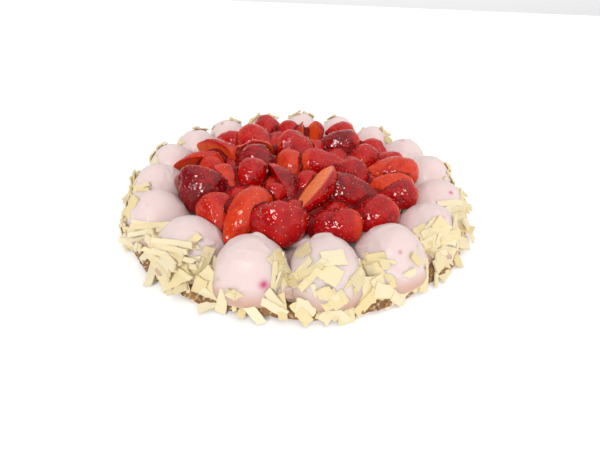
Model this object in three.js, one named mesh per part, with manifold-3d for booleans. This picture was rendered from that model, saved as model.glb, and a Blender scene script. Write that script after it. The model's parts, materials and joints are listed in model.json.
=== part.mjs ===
// A strawberry tart: a thin baked base, a ring of piped strawberry cream domes with white chocolate
// flakes on their outer sides, and a heap of cut strawberries on a bed of the same cream.
// Millimetres, +Z up, origin at the centre of the base's flat underside, front towards -Y.
// Headings are degrees anticlockwise from +X seen from above, and rises are degrees above level.

import * as THREE from "three";
import { mergeVertices } from "three/addons/utils/BufferGeometryUtils.js";
import Module from "manifold-3d";

const wasm = await Module();
wasm.setup();

// Driving dimensions, in millimetres.
const GAP = 0.3; // kept between pieces that touch
const BASE_RADIUS = 133;
const BASE_THICKNESS = 5.5;
const BASE_EDGE_HEIGHT = 2.5; // where the base is widest
const BASE_EDGE_SLOPE = 2;
const BED_RADIUS = 88;
const BED_EDGE_HEIGHT = 14;
const BED_EDGE_SLOPE = 2;
const BED_CROWN = 9; // how much higher the bed stands at its middle
const DOME_COUNT = 17;
const FIRST_DOME_HEADING = -101.2;
const DOME_RING_RADIUS = 110;
const DOME_WIDTH = 42;
const DOME_DEPTH = 40;
const DOME_RISE = 26;
const SKIRT_HEIGHT = 12; // cream joining the domes at their feet
const SKIRT_EDGE_HEIGHT = 3;
const SKIRT_INSET = 8; // from the base's edge to the skirt's foot
const SKIRT_EDGE_SLOPE = 4;
const FLAKE_THICKNESS = 1.2;
const FLAKES_PER_DOME = 1;
const FIRST_RULED_DOME = 6; // the domes from here on have flakes that the rule sets
const FLAKE_CLEARANCE = 0.8; // the lowest a flake may hang
const FLAKE_SPREAD = 150; // degrees round a dome that flakes lie on, about the outward side
const PLACED_LEAN = 0.3; // how far the broad faces of flakes may lean from the cream under them
const SCATTERED_LEAN = 0.9;
const SCATTERED_RISE = { least: 5, more: 45, crowding: 1.5 }; // degrees up a dome, crowded towards its foot
const SCATTERED_LENGTH = { least: 12, more: 8 };
const SCATTERED_WIDTH = { least: 6, more: 4 };
const CORNER_LENGTH = { least: 0.8, more: 0.25 }; // how far out a flake's corners lie, as shares
const CORNER_WIDTH = { least: 0.7, more: 0.4 };
const BASE_RIPPLES = [
  { height: 0.9, waves: 9, start: 1 },
  { height: 0.7, waves: 17, start: 2 },
];
const GIRTH_LEAN = 0.66; // under 1, a strawberry is widest nearer to its stalk
const GIRTH_FULLNESS = 0.62; // under 1, its ends are blunter
const SCRAP = 0.001; // solids smaller than this are left out, in cubic millimetres
const WELD = 0.001; // corners nearer than this are one corner
const ON_AXIS = 1e-6;

// Where the draws of each kind of flake start, and how far apart they are.
const EDGE_SEED = 3000;
const SCATTERED_SEED = 1000;
const DOME_SEED_STEP = 100;
const FLAKE_SEED_STEP = 10;

// Facets round each round solid, and rings from its rim to its top or from end to end.
const BASE_SEGMENTS = 36;
const BED_SEGMENTS = 24;
const BED_RINGS = 3;
const DOME_SEGMENTS = 12;
const DOME_RINGS = 4;
const STRAWBERRY_SEGMENTS = 8;
const STRAWBERRY_RINGS = 5;

// Domes whose width, depth or height differs from the usual ones, as shares, or that sit further in.
const ODD_DOMES = new Map([
  [2, { high: 1.06 }],
  [3, { high: 1.06 }],
  [5, { high: 0.95 }],
  [9, { high: 1.08 }],
  [10, { high: 1.05 }],
  [13, { inward: 2 }],
  [14, { inward: 4 }],
  [15, { inward: 4, high: 1.02 }],
]);
const DOMES = Array.from({ length: DOME_COUNT }, (_, i) => ({
  heading: FIRST_DOME_HEADING + (i * 360) / DOME_COUNT,
  wide: 1,
  high: 1,
  inward: 0,
  ...ODD_DOMES.get(i + 1),
}));

// The larger flakes of chocolate: the number of the dome each lies on, how far round it from its outer side
// and how far up it, its length and width, and how far its length turns up from level.
const FLAKES = [
  { dome: 1, around: 12, up: 6, size: [22, 6], turn: -38 },
  { dome: 1, around: -62, up: 16, size: [17, 9], turn: -62 },
  { dome: 1, around: 45, up: 8, size: [9, 6], turn: -60 },
  { dome: 1, around: 65, up: 15, size: [17, 7], turn: 60 },
  { dome: 1, around: 86, up: 30, size: [18, 6], turn: 70 },
  { dome: 1, around: 84, up: 45, size: [12, 7], turn: -10 },
  { dome: 2, around: -92, up: 50, size: [14, 8], turn: 80 },
  { dome: 17, around: 55, up: 50, size: [16, 5], turn: 35 },
  { dome: 17, around: 5, up: 44, size: [28, 5], turn: -2 },
  { dome: 17, around: 5, up: 32, size: [25, 8], turn: 4 },
  { dome: 17, around: -5, up: 20, size: [18, 6], turn: -15 },
  { dome: 17, around: 72, up: 25, size: [18, 6], turn: 50 },
  { dome: 17, around: 38, up: 6, size: [10, 8], turn: 20 },
  { dome: 16, around: 5, up: 3, size: [20, 4], turn: 5 },
  { dome: 16, around: 45, up: 2, size: [26, 6], turn: 8 },
  { dome: 16, around: -22, up: 14, size: [20, 7], turn: 85 },
  { dome: 16, around: 70, up: 18, size: [16, 6], turn: 0 },
  { dome: 15, around: -5, up: 28, size: [24, 6], turn: 80 },
  { dome: 15, around: 25, up: 8, size: [14, 7], turn: 85 },
  { dome: 14, around: -20, up: 18, size: [12, 6], turn: 120 },
  { dome: 12, around: 5, up: 42, size: [10, 6], turn: 15 },
  { dome: 11, around: 0, up: 38, size: [12, 6], turn: 50 },
  { dome: 10, around: 5, up: 36, size: [18, 4], turn: 70 },
  { dome: 10, around: -15, up: 38, size: [14, 5], turn: 110 },
  { dome: 2, around: -38, up: 46, size: [18, 4], turn: 60 },
  { dome: 2, around: 8, up: 62, size: [13, 8], turn: -3 },
  { dome: 2, around: -8, up: 44, size: [12, 9], turn: -30 },
  { dome: 2, around: -68, up: 20, size: [17, 5], turn: 55 },
  { dome: 2, around: 28, up: 22, size: [10, 7], turn: -60 },
  { dome: 2, around: -12, up: 6, size: [11, 8], turn: 35 },
  { dome: 2, around: 8, up: 12, size: [11, 8], turn: -60 },
  { dome: 2, around: 62, up: 24, size: [13, 7], turn: -55 },
  { dome: 3, around: -55, up: 24, size: [22, 10], turn: -55 },
  { dome: 3, around: -68, up: 10, size: [20, 8], turn: -50 },
  { dome: 3, around: -22, up: 20, size: [16, 5], turn: 30 },
  { dome: 4, around: -55, up: 46, size: [14, 12], turn: -30 },
  { dome: 4, around: -76, up: 34, size: [15, 9], turn: -40 },
  { dome: 4, around: -55, up: 22, size: [18, 11], turn: -50 },
  { dome: 4, around: -80, up: 12, size: [14, 7], turn: 20 },
  { dome: 4, around: -40, up: 8, size: [14, 8], turn: 10 },
  { dome: 4, around: 12, up: 14, size: [16, 9], turn: -20 },
  { dome: 5, around: -45, up: 14, size: [16, 10], turn: -40 },
  { dome: 5, around: -60, up: 32, size: [14, 7], turn: 20 },
  { dome: 5, around: -15, up: 26, size: [14, 6], turn: -50 },
  { dome: 5, around: 45, up: 30, size: [12, 5], turn: 30 },
  { dome: 6, around: 0, up: 38, size: [18, 7], turn: -45 },
  { dome: 6, around: 30, up: 26, size: [18, 6], turn: 15 },
  { dome: 6, around: -30, up: 18, size: [14, 7], turn: -30 },
  { dome: 7, around: 10, up: 34, size: [12, 5], turn: 60 },
];

// The flakes that lean on the edge of the base: their heading, distance from the middle and height, their
// length and width, how far the length turns up from level, and how far the broad face looks up.
const EDGE_FLAKES = [
  { heading: -118, radius: 130, height: 8, size: [21, 11], turn: 42, rise: 35 },
  { heading: -112, radius: 129, height: 7, size: [15, 8], turn: 78, rise: 30 },
  { heading: -99, radius: 131, height: 6, size: [24, 6], turn: -38, rise: 40 },
  { heading: -93, radius: 130, height: 7, size: [16, 5], turn: -25, rise: 30 },
  { heading: -86, radius: 130, height: 8, size: [11, 10], turn: -10, rise: 35 },
  { heading: -87, radius: 132, height: 6, size: [13, 6], turn: 130, rise: 45 },
  { heading: -81, radius: 132, height: 6, size: [12, 6], turn: 50, rise: 45 },
  { heading: -72, radius: 130, height: 7, size: [18, 6], turn: 35, rise: 35 },
  { heading: -66, radius: 129, height: 9, size: [18, 8], turn: -25, rise: 35 },
  { heading: -55, radius: 130, height: 9, size: [20, 9], turn: 75, rise: 30 },
  { heading: -35, radius: 131, height: 10, size: [24, 9], turn: -38, rise: 45 },
  { heading: -46, radius: 129, height: 8, size: [14, 8], turn: -8, rise: 40 },
  { heading: -140, radius: 129, height: 8, size: [16, 7], turn: -15, rise: 30 },
  { heading: -28, radius: 133, height: 12, size: [18, 9], turn: 70, rise: 40 },
  { heading: -15, radius: 132, height: 12, size: [16, 10], turn: -30, rise: 35 },
  { heading: -8, radius: 131, height: 14, size: [14, 8], turn: 60, rise: 40 },
  { heading: 2, radius: 131, height: 12, size: [16, 7], turn: -50, rise: 35 },
  { heading: 22, radius: 130, height: 12, size: [12, 5], turn: -40, rise: 30 },
  { heading: -150, radius: 130, height: 9, size: [16, 6], turn: 70, rise: 25 },
  { heading: -168, radius: 130, height: 10, size: [16, 6], turn: 95, rise: 25 },
  { heading: 170, radius: 129, height: 12, size: [14, 5], turn: 60, rise: 30 },
];

// Each strawberry piece: where the middle of its cut lies, its length and width, where its tip points
// and where its skin faces, both as heading and rise, and how much of the whole berry it is, as an angle.
const STRAWBERRIES = [
  { at: [-34, 78, 24], size: [32, 25], tip: [-90, -20], skin: [-90, 70], cut: 180 },
  { at: [-38, 41, 24], size: [41, 30], tip: [-40, -15], skin: [-80, 60], cut: 180 },
  { at: [-11, 67, 26], size: [25, 21], tip: [-90, -20], skin: [-90, 70], cut: 180 },
  { at: [5, 62, 27], size: [26, 22], tip: [100, 60], skin: [180, 0], cut: 140 },
  { at: [13, 57, 28], size: [28, 22], tip: [-80, -45], skin: [35, -10], cut: 180 },
  { at: [40, 77, 24], size: [30, 24], tip: [180, 0], skin: [-90, 80], cut: 180 },
  { at: [35, 39, 27], size: [41, 27], tip: [185, -5], skin: [-90, 50], cut: 130 },
  { at: [-65, 44, 22], size: [30, 24], tip: [180, 0], skin: [-90, 80], cut: 180 },
  { at: [-1, 23, 27], size: [38, 30], tip: [-20, -10], skin: [-90, 75], cut: 180 },
  { at: [-68, 10, 24], size: [46, 32], tip: [150, 10], skin: [50, 10], cut: 180 },
  { at: [-39, 9, 26], size: [40, 26], tip: [190, -5], skin: [80, 10], cut: 180 },
  { at: [-30, -4, 26], size: [33, 27], tip: [-45, -15], skin: [-90, 70], cut: 180 },
  { at: [69, 36, 19], size: [33, 27], tip: [-60, -15], skin: [-90, 75], cut: 180 },
  { at: [55, 13, 25], size: [28, 24], tip: [-120, -10], skin: [-100, 60], cut: 180 },
  { at: [-78, -5, 21], size: [42, 26], tip: [185, 0], skin: [80, 25], cut: 180 },
  { at: [-61, -14, 21], size: [33, 22], tip: [-45, -15], skin: [-110, 60], cut: 120 },
  { at: [-5, -11, 28], size: [29, 21], tip: [-80, -15], skin: [-90, 50], cut: 180 },
  { at: [22, -9, 29], size: [42, 24], tip: [-5, -5], skin: [-90, 65], cut: 180 },
  { at: [74, 12, 23], size: [31, 21], tip: [180, 0], skin: [-90, 80], cut: 120 },
  { at: [72, -12, 26], size: [43, 25], tip: [180, -5], skin: [-90, 60], cut: 180 },
  { at: [-32, -32, 28], size: [29, 23], tip: [-105, -25], skin: [-90, 60], cut: 180 },
  { at: [-10, -45, 24], size: [46, 27], tip: [-60, -20], skin: [25, 10], cut: 180 },
  { at: [7, -38, 27], size: [23, 19], tip: [-120, -10], skin: [-90, 60], cut: 180 },
  { at: [-49, -36, 25], size: [30, 20], tip: [-50, -20], skin: [20, 60], cut: 120 },
  { at: [-65, -47, 22], size: [32, 37], tip: [-100, -25], skin: [-90, 70], cut: 180 },
  { at: [41, -26, 27], size: [27, 26], tip: [-80, -25], skin: [-90, 50], cut: 180 },
  { at: [10, -58, 34], size: [47, 24], tip: [-123, -23], skin: [-15, -50], cut: 180 },
  { at: [68, -30, 23], size: [36, 23], tip: [180, 0], skin: [-90, 50], cut: 120 },
  { at: [71, -40, 22], size: [31, 22], tip: [190, -10], skin: [-90, 65], cut: 180 },
  { at: [-13, -56, 28], size: [14, 16], tip: [-90, -20], skin: [-90, 70], cut: 180 },
  { at: [2, -72, 22], size: [24, 18], tip: [-60, -10], skin: [-90, 60], cut: 180 },
  { at: [-29, -76, 25], size: [43, 23], tip: [-120, -22], skin: [-90, 60], cut: 180 },
  { at: [-48, -71, 20], size: [31, 25], tip: [-70, -20], skin: [-100, 60], cut: 180 },
  { at: [-8, -83, 21], size: [27, 36], tip: [-87, -22], skin: [-90, 60], cut: 180 },
  { at: [25, -78, 22], size: [35, 23], tip: [178, -5], skin: [-90, 55], cut: 180 },
  { at: [51, -66, 21], size: [33, 25], tip: [-158, -10], skin: [-90, 65], cut: 180 },
  { at: [38, -46, 25], size: [48, 28], tip: [-10, -10], skin: [-90, 60], cut: 180 },
  { at: [-54, 6, 20], size: [32, 24], tip: [-80, 0], skin: [0, 90], cut: 180 },
  { at: [-20, 42, 22], size: [30, 24], tip: [-100, 0], skin: [0, 90], cut: 180 },
  { at: [15, 34, 22], size: [30, 24], tip: [60, 0], skin: [0, 90], cut: 180 },
  { at: [42, -12, 22], size: [34, 26], tip: [-80, 0], skin: [0, 90], cut: 180 },
];

// The strawberries of the lower layer, half sunk in the bed: where each lies and where its tip points.
const SUNK_STRAWBERRIES = [
  { at: [-46, -18], tip: 60 },
  { at: [33, 56], tip: 160 },
  { at: [30, 18], tip: -150 },
  { at: [60, 56], tip: 140 },
  { at: [-67, 27], tip: 30 },
  { at: [6, 80], tip: 180 },
  { at: [-54, 62], tip: -60 },
  { at: [22, -62], tip: -160 },
  { at: [-40, -52], tip: -120 },
  { at: [76, 24], tip: -90 },
  { at: [-1, 45], tip: 100 },
  { at: [-74, -26], tip: -100 },
  { at: [76, -6], tip: -80 },
  { at: [60, -46], tip: 30 },
  { at: [-10, -30], tip: 40 },
  { at: [57, -20], tip: 0 },
];
const SUNK_SIZE = [32, 26];
const SUNK_DEPTH = 5; // how far their middles lie under the bed's top

const radians = THREE.MathUtils.degToRad;

// A repeatable draw between 0 and 1 for each number.
function draw(seed) {
  const s = Math.sin(seed * 12.9898) * 43758.5453;
  return s - Math.floor(s);
}

const drawn = (range, seed) => range.least + range.more * draw(seed) ** (range.crowding ?? 1);

function direction(heading, rise) {
  const level = Math.cos(radians(rise));
  return new THREE.Vector3(
    level * Math.cos(radians(heading)),
    level * Math.sin(radians(heading)),
    Math.sin(radians(rise)),
  );
}

// A place at a point, +X along one direction and +Z as near as can be to another.
function frameOf(at, x, facing) {
  const y = facing.clone().cross(x).normalize();
  return new THREE.Matrix4().makeBasis(x, y, x.clone().cross(y)).setPosition(...at);
}

function toSolid(geometry) {
  const bare = new THREE.BufferGeometry();
  const flat = geometry.index ? geometry.toNonIndexed() : geometry;
  bare.setAttribute("position", flat.getAttribute("position"));
  const merged = mergeVertices(bare, WELD);
  return new wasm.Manifold(
    new wasm.Mesh({
      numProp: 3,
      vertProperties: new Float32Array(merged.attributes.position.array),
      triVerts: new Uint32Array(merged.index.array),
    }),
  );
}

function toGeometry(solid) {
  const mesh = solid.getMesh();
  const geometry = new THREE.BufferGeometry();
  geometry.setAttribute("position", new THREE.BufferAttribute(new Float32Array(mesh.vertProperties), 3));
  geometry.setIndex(new THREE.BufferAttribute(new Uint32Array(mesh.triVerts), 1));
  return geometry;
}

function largestBody(solid) {
  return solid.decompose().sort((a, b) => b.volume() - a.volume())[0];
}

// A round solid about +Z from [radius, height] corners, listed upwards from the axis and back to it, its
// radius uneven by an amount that depends on the angle.
function turned(corners, segments, ripple = () => 0) {
  const points = corners.map(([r, z]) => new THREE.Vector2(r, z));
  const geometry = new THREE.LatheGeometry(points, segments).rotateX(Math.PI / 2);
  const position = geometry.getAttribute("position");
  for (let i = 0; i < position.count; i += 1) {
    const [x, y, z] = [position.getX(i), position.getY(i), position.getZ(i)];
    const radius = Math.hypot(x, y);
    if (radius > ON_AXIS) {
      const share = (radius + ripple(Math.atan2(y, x))) / radius;
      position.setXYZ(i, x * share, y * share, z);
    }
  }
  return geometry;
}

// The baked base: a flat plate with an uneven edge.
function baseGeometry(grow = 0) {
  const rim = BASE_RADIUS + grow;
  const top = BASE_THICKNESS + grow;
  const corners = [
    [0, -grow],
    [rim - BASE_EDGE_SLOPE, -grow],
    [rim, BASE_EDGE_HEIGHT],
    [rim - BASE_EDGE_SLOPE, top],
    [0, top],
  ];
  const ripple = (angle) =>
    BASE_RIPPLES.reduce((sum, { height, waves, start }) => sum + height * Math.sin(waves * angle + start), 0);
  return turned(corners, BASE_SEGMENTS, ripple);
}

// How high the bed stands at a distance from the middle.
function bedHeight(radius) {
  return BED_EDGE_HEIGHT + BED_CROWN * Math.sqrt(Math.max(0, 1 - (radius / BED_RADIUS) ** 2));
}

// The cream under the strawberries, highest in the middle.
function bedGeometry(grow = 0) {
  const bottom = BASE_THICKNESS + GAP;
  const corners = [
    [0, bottom - grow],
    [BED_RADIUS + grow, bottom - grow],
    [BED_RADIUS + grow, BED_EDGE_HEIGHT - BED_EDGE_SLOPE],
  ];
  for (let i = 1; i <= BED_RINGS; i += 1) {
    const radius = i === BED_RINGS ? 0 : BED_RADIUS * Math.cos((i / BED_RINGS) * (Math.PI / 2));
    corners.push([radius, bedHeight(radius) + grow]);
  }
  return turned(corners, BED_SEGMENTS);
}

// Cream that joins the feet of the domes, as a full ring.
function skirtGeometry(grow = 0) {
  const bottom = BASE_THICKNESS + GAP;
  const top = SKIRT_HEIGHT + grow;
  const inner = (BED_RADIUS + GAP) / Math.cos(Math.PI / (2 * DOME_COUNT)) - grow; // its flats clear the bed
  const outer = BASE_RADIUS - SKIRT_INSET;
  const corners = [
    [inner, bottom],
    [outer, bottom],
    [outer, bottom + SKIRT_EDGE_HEIGHT],
    [outer - SKIRT_EDGE_SLOPE, top],
    [inner, top],
    [inner, bottom],
  ];
  return turned(corners, 2 * DOME_COUNT);
}

function domeRadii(dome) {
  return new THREE.Vector3(DOME_DEPTH / 2, (DOME_WIDTH / 2) * dome.wide, DOME_RISE * dome.high);
}

function domePlace(dome) {
  const out = new THREE.Matrix4().makeTranslation(DOME_RING_RADIUS - dome.inward, 0, BASE_THICKNESS + GAP);
  return new THREE.Matrix4().makeRotationZ(radians(dome.heading)).multiply(out);
}

// One piped dome about its own middle, +X outwards from the tart.
function domeGeometry(dome, grow = 0) {
  const corners = [[0, 0]];
  for (let i = 0; i < DOME_RINGS; i += 1) {
    const angle = (i / DOME_RINGS) * (Math.PI / 2);
    corners.push([Math.cos(angle), Math.sin(angle)]);
  }
  corners.push([0, 1]);
  return turned(corners, DOME_SEGMENTS).scale(...domeRadii(dome).addScalar(grow).toArray());
}

// An uneven four-cornered flake, its length along X and its broad face to +Z, put in its place.
function flakeGeometry(flake, seed) {
  const [length, width] = flake.size;
  const corner = (sx, sy, k) => {
    const along = (sx * length * drawn(CORNER_LENGTH, seed + k)) / 2;
    const across = (sy * width * drawn(CORNER_WIDTH, seed + k + 0.5)) / 2;
    return new THREE.Vector2(along, across);
  };
  const outline = new THREE.Shape([corner(-1, -1, 1), corner(1, -1, 2), corner(1, 1, 3), corner(-1, 1, 4)]);
  const geometry = new THREE.ExtrudeGeometry(outline, { depth: FLAKE_THICKNESS, bevelEnabled: false });
  geometry.translate(0, 0, -FLAKE_THICKNESS / 2);
  return geometry.applyMatrix4(frameOf(flake.at, flake.along, flake.face));
}

// A small drawn change of the way a flake faces.
const seededLean = (seed, most) => new THREE.Vector3(...[2, 3, 4].map((k) => most * (draw(seed + k) - 0.5)));

// Where a flake's length points, at an angle from level on a face that looks along a normal.
function turnedUp(level, normal, turn) {
  const steep = normal.clone().cross(level).multiplyScalar(Math.sin(radians(turn)));
  return level.clone().multiplyScalar(Math.cos(radians(turn))).add(steep);
}

// A flake on a dome, at an angle round it and up it.
function lyingFlake({ dome, around, up, size, turn }, lean) {
  const radii = domeRadii(DOMES[dome - 1]);
  const outward = direction(around, up);
  const normal = outward.clone().divide(radii).normalize().add(lean).normalize();
  const along = turnedUp(direction(around + 90, 0), normal, turn);
  const place = domePlace(DOMES[dome - 1]);
  return {
    at: outward.multiply(radii).applyMatrix4(place).toArray(),
    size,
    along: along.transformDirection(place),
    face: normal.transformDirection(place),
  };
}

// A flake that leans on the edge of the base.
function leaningFlake({ heading, radius, height, size, turn, rise }) {
  const [x, y] = direction(heading, 0).multiplyScalar(radius).toArray();
  const face = direction(heading, rise);
  return { at: [x, y, height], size, along: turnedUp(direction(heading + 90, 0), face, turn), face };
}

// A flake on the outer side of a dome, set by the rule.
function scatteredFlake(dome, seed) {
  const flake = {
    dome,
    around: FLAKE_SPREAD * (draw(seed) - 0.5),
    up: drawn(SCATTERED_RISE, seed + 1),
    size: [drawn(SCATTERED_LENGTH, seed + 6), drawn(SCATTERED_WIDTH, seed + 7)],
    turn: 180 * draw(seed + 5),
  };
  return lyingFlake(flake, seededLean(seed, SCATTERED_LEAN));
}

// A strawberry's radius, as a share of its greatest, from its stalk (0) to its tip (1).
const girth = (share) => Math.sin(Math.PI * share ** GIRTH_LEAN) ** GIRTH_FULLNESS;

const strawberryPlace = ({ at, tip, skin }) => frameOf(at, direction(...tip), direction(...skin));

// One strawberry piece about the middle of its axis, +X to the tip and +Z to the middle of its skin.
function strawberrySolid(piece, grow = 0) {
  const [length, width] = piece.size;
  const corners = [];
  for (let i = 0; i <= STRAWBERRY_RINGS; i += 1) {
    const along = i / STRAWBERRY_RINGS;
    const end = i % STRAWBERRY_RINGS === 0;
    const radius = end ? 0 : (width / 2) * girth(along) + grow;
    corners.push([radius, (along - 0.5) * (length + 2 * grow)]);
  }
  const whole = toSolid(turned(corners, STRAWBERRY_SEGMENTS).rotateY(Math.PI / 2));
  const lean = radians((180 - piece.cut) / 2);
  const first = whole.trimByPlane([0, -Math.sin(lean), Math.cos(lean)], -grow);
  return first.trimByPlane([0, Math.sin(lean), Math.cos(lean)], -grow);
}

function placed(name, solid, place, material) {
  const geometry = toGeometry(solid).applyMatrix4(place.clone().invert());
  geometry.computeVertexNormals();
  const mesh = new THREE.Mesh(geometry, material);
  mesh.name = name;
  mesh.applyMatrix4(place);
  return mesh;
}

const inPlace = (solid, place) => toSolid(toGeometry(solid).applyMatrix4(place));

const crustFinish = new THREE.MeshStandardMaterial({ color: 0xa9713a, roughness: 0.85, metalness: 0 });
const creamFinish = new THREE.MeshStandardMaterial({ color: 0xf3dcdb, roughness: 0.45, metalness: 0 });
const strawberryFinish = new THREE.MeshStandardMaterial({ color: 0xb01018, roughness: 0.2, metalness: 0 });

const still = new THREE.Matrix4();
const tart = new THREE.Group();

const base = toSolid(baseGeometry());
const baseClear = toSolid(baseGeometry(GAP));
const bedClear = toSolid(bedGeometry(GAP));
tart.add(placed("crust", base, still, crustFinish));

// Cuts each of the others that reaches into a solid away from it.
function cutClear(solid, others) {
  const near = others.filter((other) => solid.intersect(other).volume() > SCRAP);
  return near.reduce((rest, other) => rest.subtract(other), solid);
}

const skirt = toSolid(skirtGeometry());
const flakeSolid = (flake, seed) => {
  const above = toSolid(flakeGeometry(flake, seed)).trimByPlane([0, 0, 1], FLAKE_CLEARANCE);
  return largestBody(above.subtract(baseClear));
};
const flakes = FLAKES.map((flake, i) => {
  const seed = FLAKE_SEED_STEP * i;
  return flakeSolid(lyingFlake(flake, seededLean(seed, PLACED_LEAN)), seed);
});
EDGE_FLAKES.forEach((flake, i) => {
  flakes.push(flakeSolid(leaningFlake(flake), EDGE_SEED + FLAKE_SEED_STEP * i));
});
for (let dome = FIRST_RULED_DOME; dome <= DOME_COUNT; dome += 1) {
  for (let k = 0; k < FLAKES_PER_DOME; k += 1) {
    const seed = SCATTERED_SEED + DOME_SEED_STEP * (dome - 1) + FLAKE_SEED_STEP * k;
    flakes.push(flakeSolid(scatteredFlake(dome, seed), seed));
  }
}

const domeSolids = DOMES.map((dome, i) => {
  const before = radians(dome.heading - 180 / DOME_COUNT);
  const after = radians(dome.heading + 180 / DOME_COUNT);
  const share = (solid) =>
    solid
      .trimByPlane([-Math.sin(before), Math.cos(before), 0], GAP / 2)
      .trimByPlane([Math.sin(after), -Math.cos(after), 0], GAP / 2);
  const mound = cutClear(toSolid(domeGeometry(dome).applyMatrix4(domePlace(dome))), [bedClear]);
  const parts = [mound, skirt, ...flakes].map(share);
  return largestBody(wasm.Manifold.union(parts.filter((part) => part.volume() > SCRAP)));
});
domeSolids.forEach((solid, i) => {
  const name = `cream_dome_${String(i + 1).padStart(2, "0")}`;
  tart.add(placed(name, solid, domePlace(DOMES[i]), creamFinish));
});

// The upper strawberries: the highest keeps its shape, and each lower one is cut clear of those above.
const domeClear = DOMES.map((dome) => toSolid(domeGeometry(dome, GAP).applyMatrix4(domePlace(dome))));
const ringClear = [toSolid(skirtGeometry(GAP)), ...domeClear];
const order = STRAWBERRIES.map((_, i) => i).sort((a, b) => STRAWBERRIES[b].at[2] - STRAWBERRIES[a].at[2]);
const cleared = [];
for (const i of order) {
  const piece = STRAWBERRIES[i];
  const place = strawberryPlace(piece);
  const whole = inPlace(strawberrySolid(piece), place);
  const solid = largestBody(cutClear(whole, [bedClear, ...ringClear, ...cleared]));
  cleared.push(inPlace(strawberrySolid(piece, GAP), place));
  tart.add(placed(`strawberry_${String(i + 1).padStart(2, "0")}`, solid, place, strawberryFinish));
}

const sunk = SUNK_STRAWBERRIES.map(({ at: [x, y], tip }) => {
  const middle = [x, y, bedHeight(Math.hypot(x, y)) - SUNK_DEPTH];
  const piece = { at: middle, size: SUNK_SIZE, tip: [tip, 0], skin: [0, 90], cut: 180 };
  return cutClear(inPlace(strawberrySolid(piece), strawberryPlace(piece)), [...ringClear, ...cleared]);
});
const bed = largestBody(wasm.Manifold.union([toSolid(bedGeometry()), ...sunk]));
tart.add(placed("cream_bed", bed, still, creamFinish));

export default tart;
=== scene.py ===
"""A glazed strawberry tart: a baked base, a ring of piped strawberry cream domes with white chocolate
flakes on their outer sides, and a heap of cut strawberries on a bed of cream.

Sizes are in millimetres, and each mesh is turned to metres as it is finished. Headings are degrees
anticlockwise from +X seen from above, and rises are degrees above level.
"""

import json
import math

import bmesh
import bpy
import numpy as np
from bpy.props import FloatProperty, FloatVectorProperty, IntProperty, PointerProperty
from mathutils import Matrix, Vector, noise
from mathutils.bvhtree import BVHTree
from mathutils.kdtree import KDTree

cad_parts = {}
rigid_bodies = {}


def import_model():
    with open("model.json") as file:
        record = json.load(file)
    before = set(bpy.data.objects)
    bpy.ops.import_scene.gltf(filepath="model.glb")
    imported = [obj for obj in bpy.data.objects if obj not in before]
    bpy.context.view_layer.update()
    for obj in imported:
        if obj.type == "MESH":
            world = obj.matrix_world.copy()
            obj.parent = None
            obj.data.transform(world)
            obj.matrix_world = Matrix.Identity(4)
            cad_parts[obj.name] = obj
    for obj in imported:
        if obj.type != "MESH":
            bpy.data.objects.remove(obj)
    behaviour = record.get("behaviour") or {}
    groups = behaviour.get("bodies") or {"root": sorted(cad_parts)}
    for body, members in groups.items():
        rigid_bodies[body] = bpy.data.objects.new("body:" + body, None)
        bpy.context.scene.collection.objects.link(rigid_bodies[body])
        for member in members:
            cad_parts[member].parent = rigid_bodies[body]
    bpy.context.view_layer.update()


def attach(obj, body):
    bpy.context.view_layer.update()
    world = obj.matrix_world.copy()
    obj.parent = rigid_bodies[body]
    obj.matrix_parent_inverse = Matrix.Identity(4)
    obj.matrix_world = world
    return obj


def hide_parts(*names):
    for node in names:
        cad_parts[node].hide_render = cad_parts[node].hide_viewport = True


bl_info = {
    "name": "Strawberry Tart",
    "version": (1, 0, 0),
    "blender": (4, 5, 0),
    "location": "3D View > Sidebar > Tart",
    "description": "A strawberry tart with piped cream domes and white chocolate flakes",
    "category": "Add Mesh",
}

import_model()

MM = 0.001
BODY = "root"
GAP = 0.3  # between the cream and the base, and between domes
CAMERA_HEIGHT = 132.11
CAMERA_PLACE = (4.26, -230.23)
CAMERA_TILT = 36.06  # degrees below level
CAMERA_ROLL = 2.39
CAMERA_LENS = 18.48
CAMERA_SENSOR = 36
FLOOR_HALF_WIDTH = 20  # metres, so that its edge is never seen

# The small lamp that makes the glaze sparkle: the heading and rise it comes from, and how wide it looks.
LAMP_PLACE = (249, 38)
LAMP_WIDTH = 17
# The broad lights: the heading and rise each comes from. Each is full up to one angle from its middle and
# fades out at another, so that its reflections have no edge.
SOFT_LIGHTS = {
    "side": (318, 38),
    "back": (80, 62),
}
SOFT_CORE = 20
SOFT_EDGE = 70

DOME_COUNT = 17
FIRST_DOME_HEADING = -101.2
DOME_RING_RADIUS = 110
FIRST_RULED_DOME = 6  # from this dome on, a rule sets one large flake on each
LARGE_SPREAD = 150  # degrees of a dome over which ruled flakes lie, the large ones and the small ones
SMALL_SPREAD = 165
# How far the broad faces of flakes may lean from the cream under them.
PLACED_LEAN = 0.3
SCATTERED_LEAN = 0.9
SMALL_LEAN = 0.6
SMALL_LIFT = 0.3  # how far the middle of a small flake lies over the cream
BUNDLE_STEP = 7  # degrees between the shavings of a bundle
PROP_HEIGHT = 12  # flakes on the edge of the base that lean this high rest on a small one
PROP_LENGTH = 20
EDGE_LENGTHENING = 1.25  # how much longer the small flakes on the base are than the others
TABLE_GAP = 0.4  # how far every flake stays over the table

# Where the seeds of each kind of flake start, and their steps from one flake, bundle or dome to the next.
RULED_SEED = 1000
EDGE_SEED = 3000
PROP_SEED = 4000
BUNDLE_SEED = 5000
SMALL_SIDE_SEED = 7000
SMALL_EDGE_SEED = 9000
LARGE_SEED_STEP = 10
BUNDLE_SEED_STEP = 31
RULED_SEED_STEP = 100
DOME_SEED_STEP = 101
SMALL_SEED_STEP = 1.37
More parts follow.
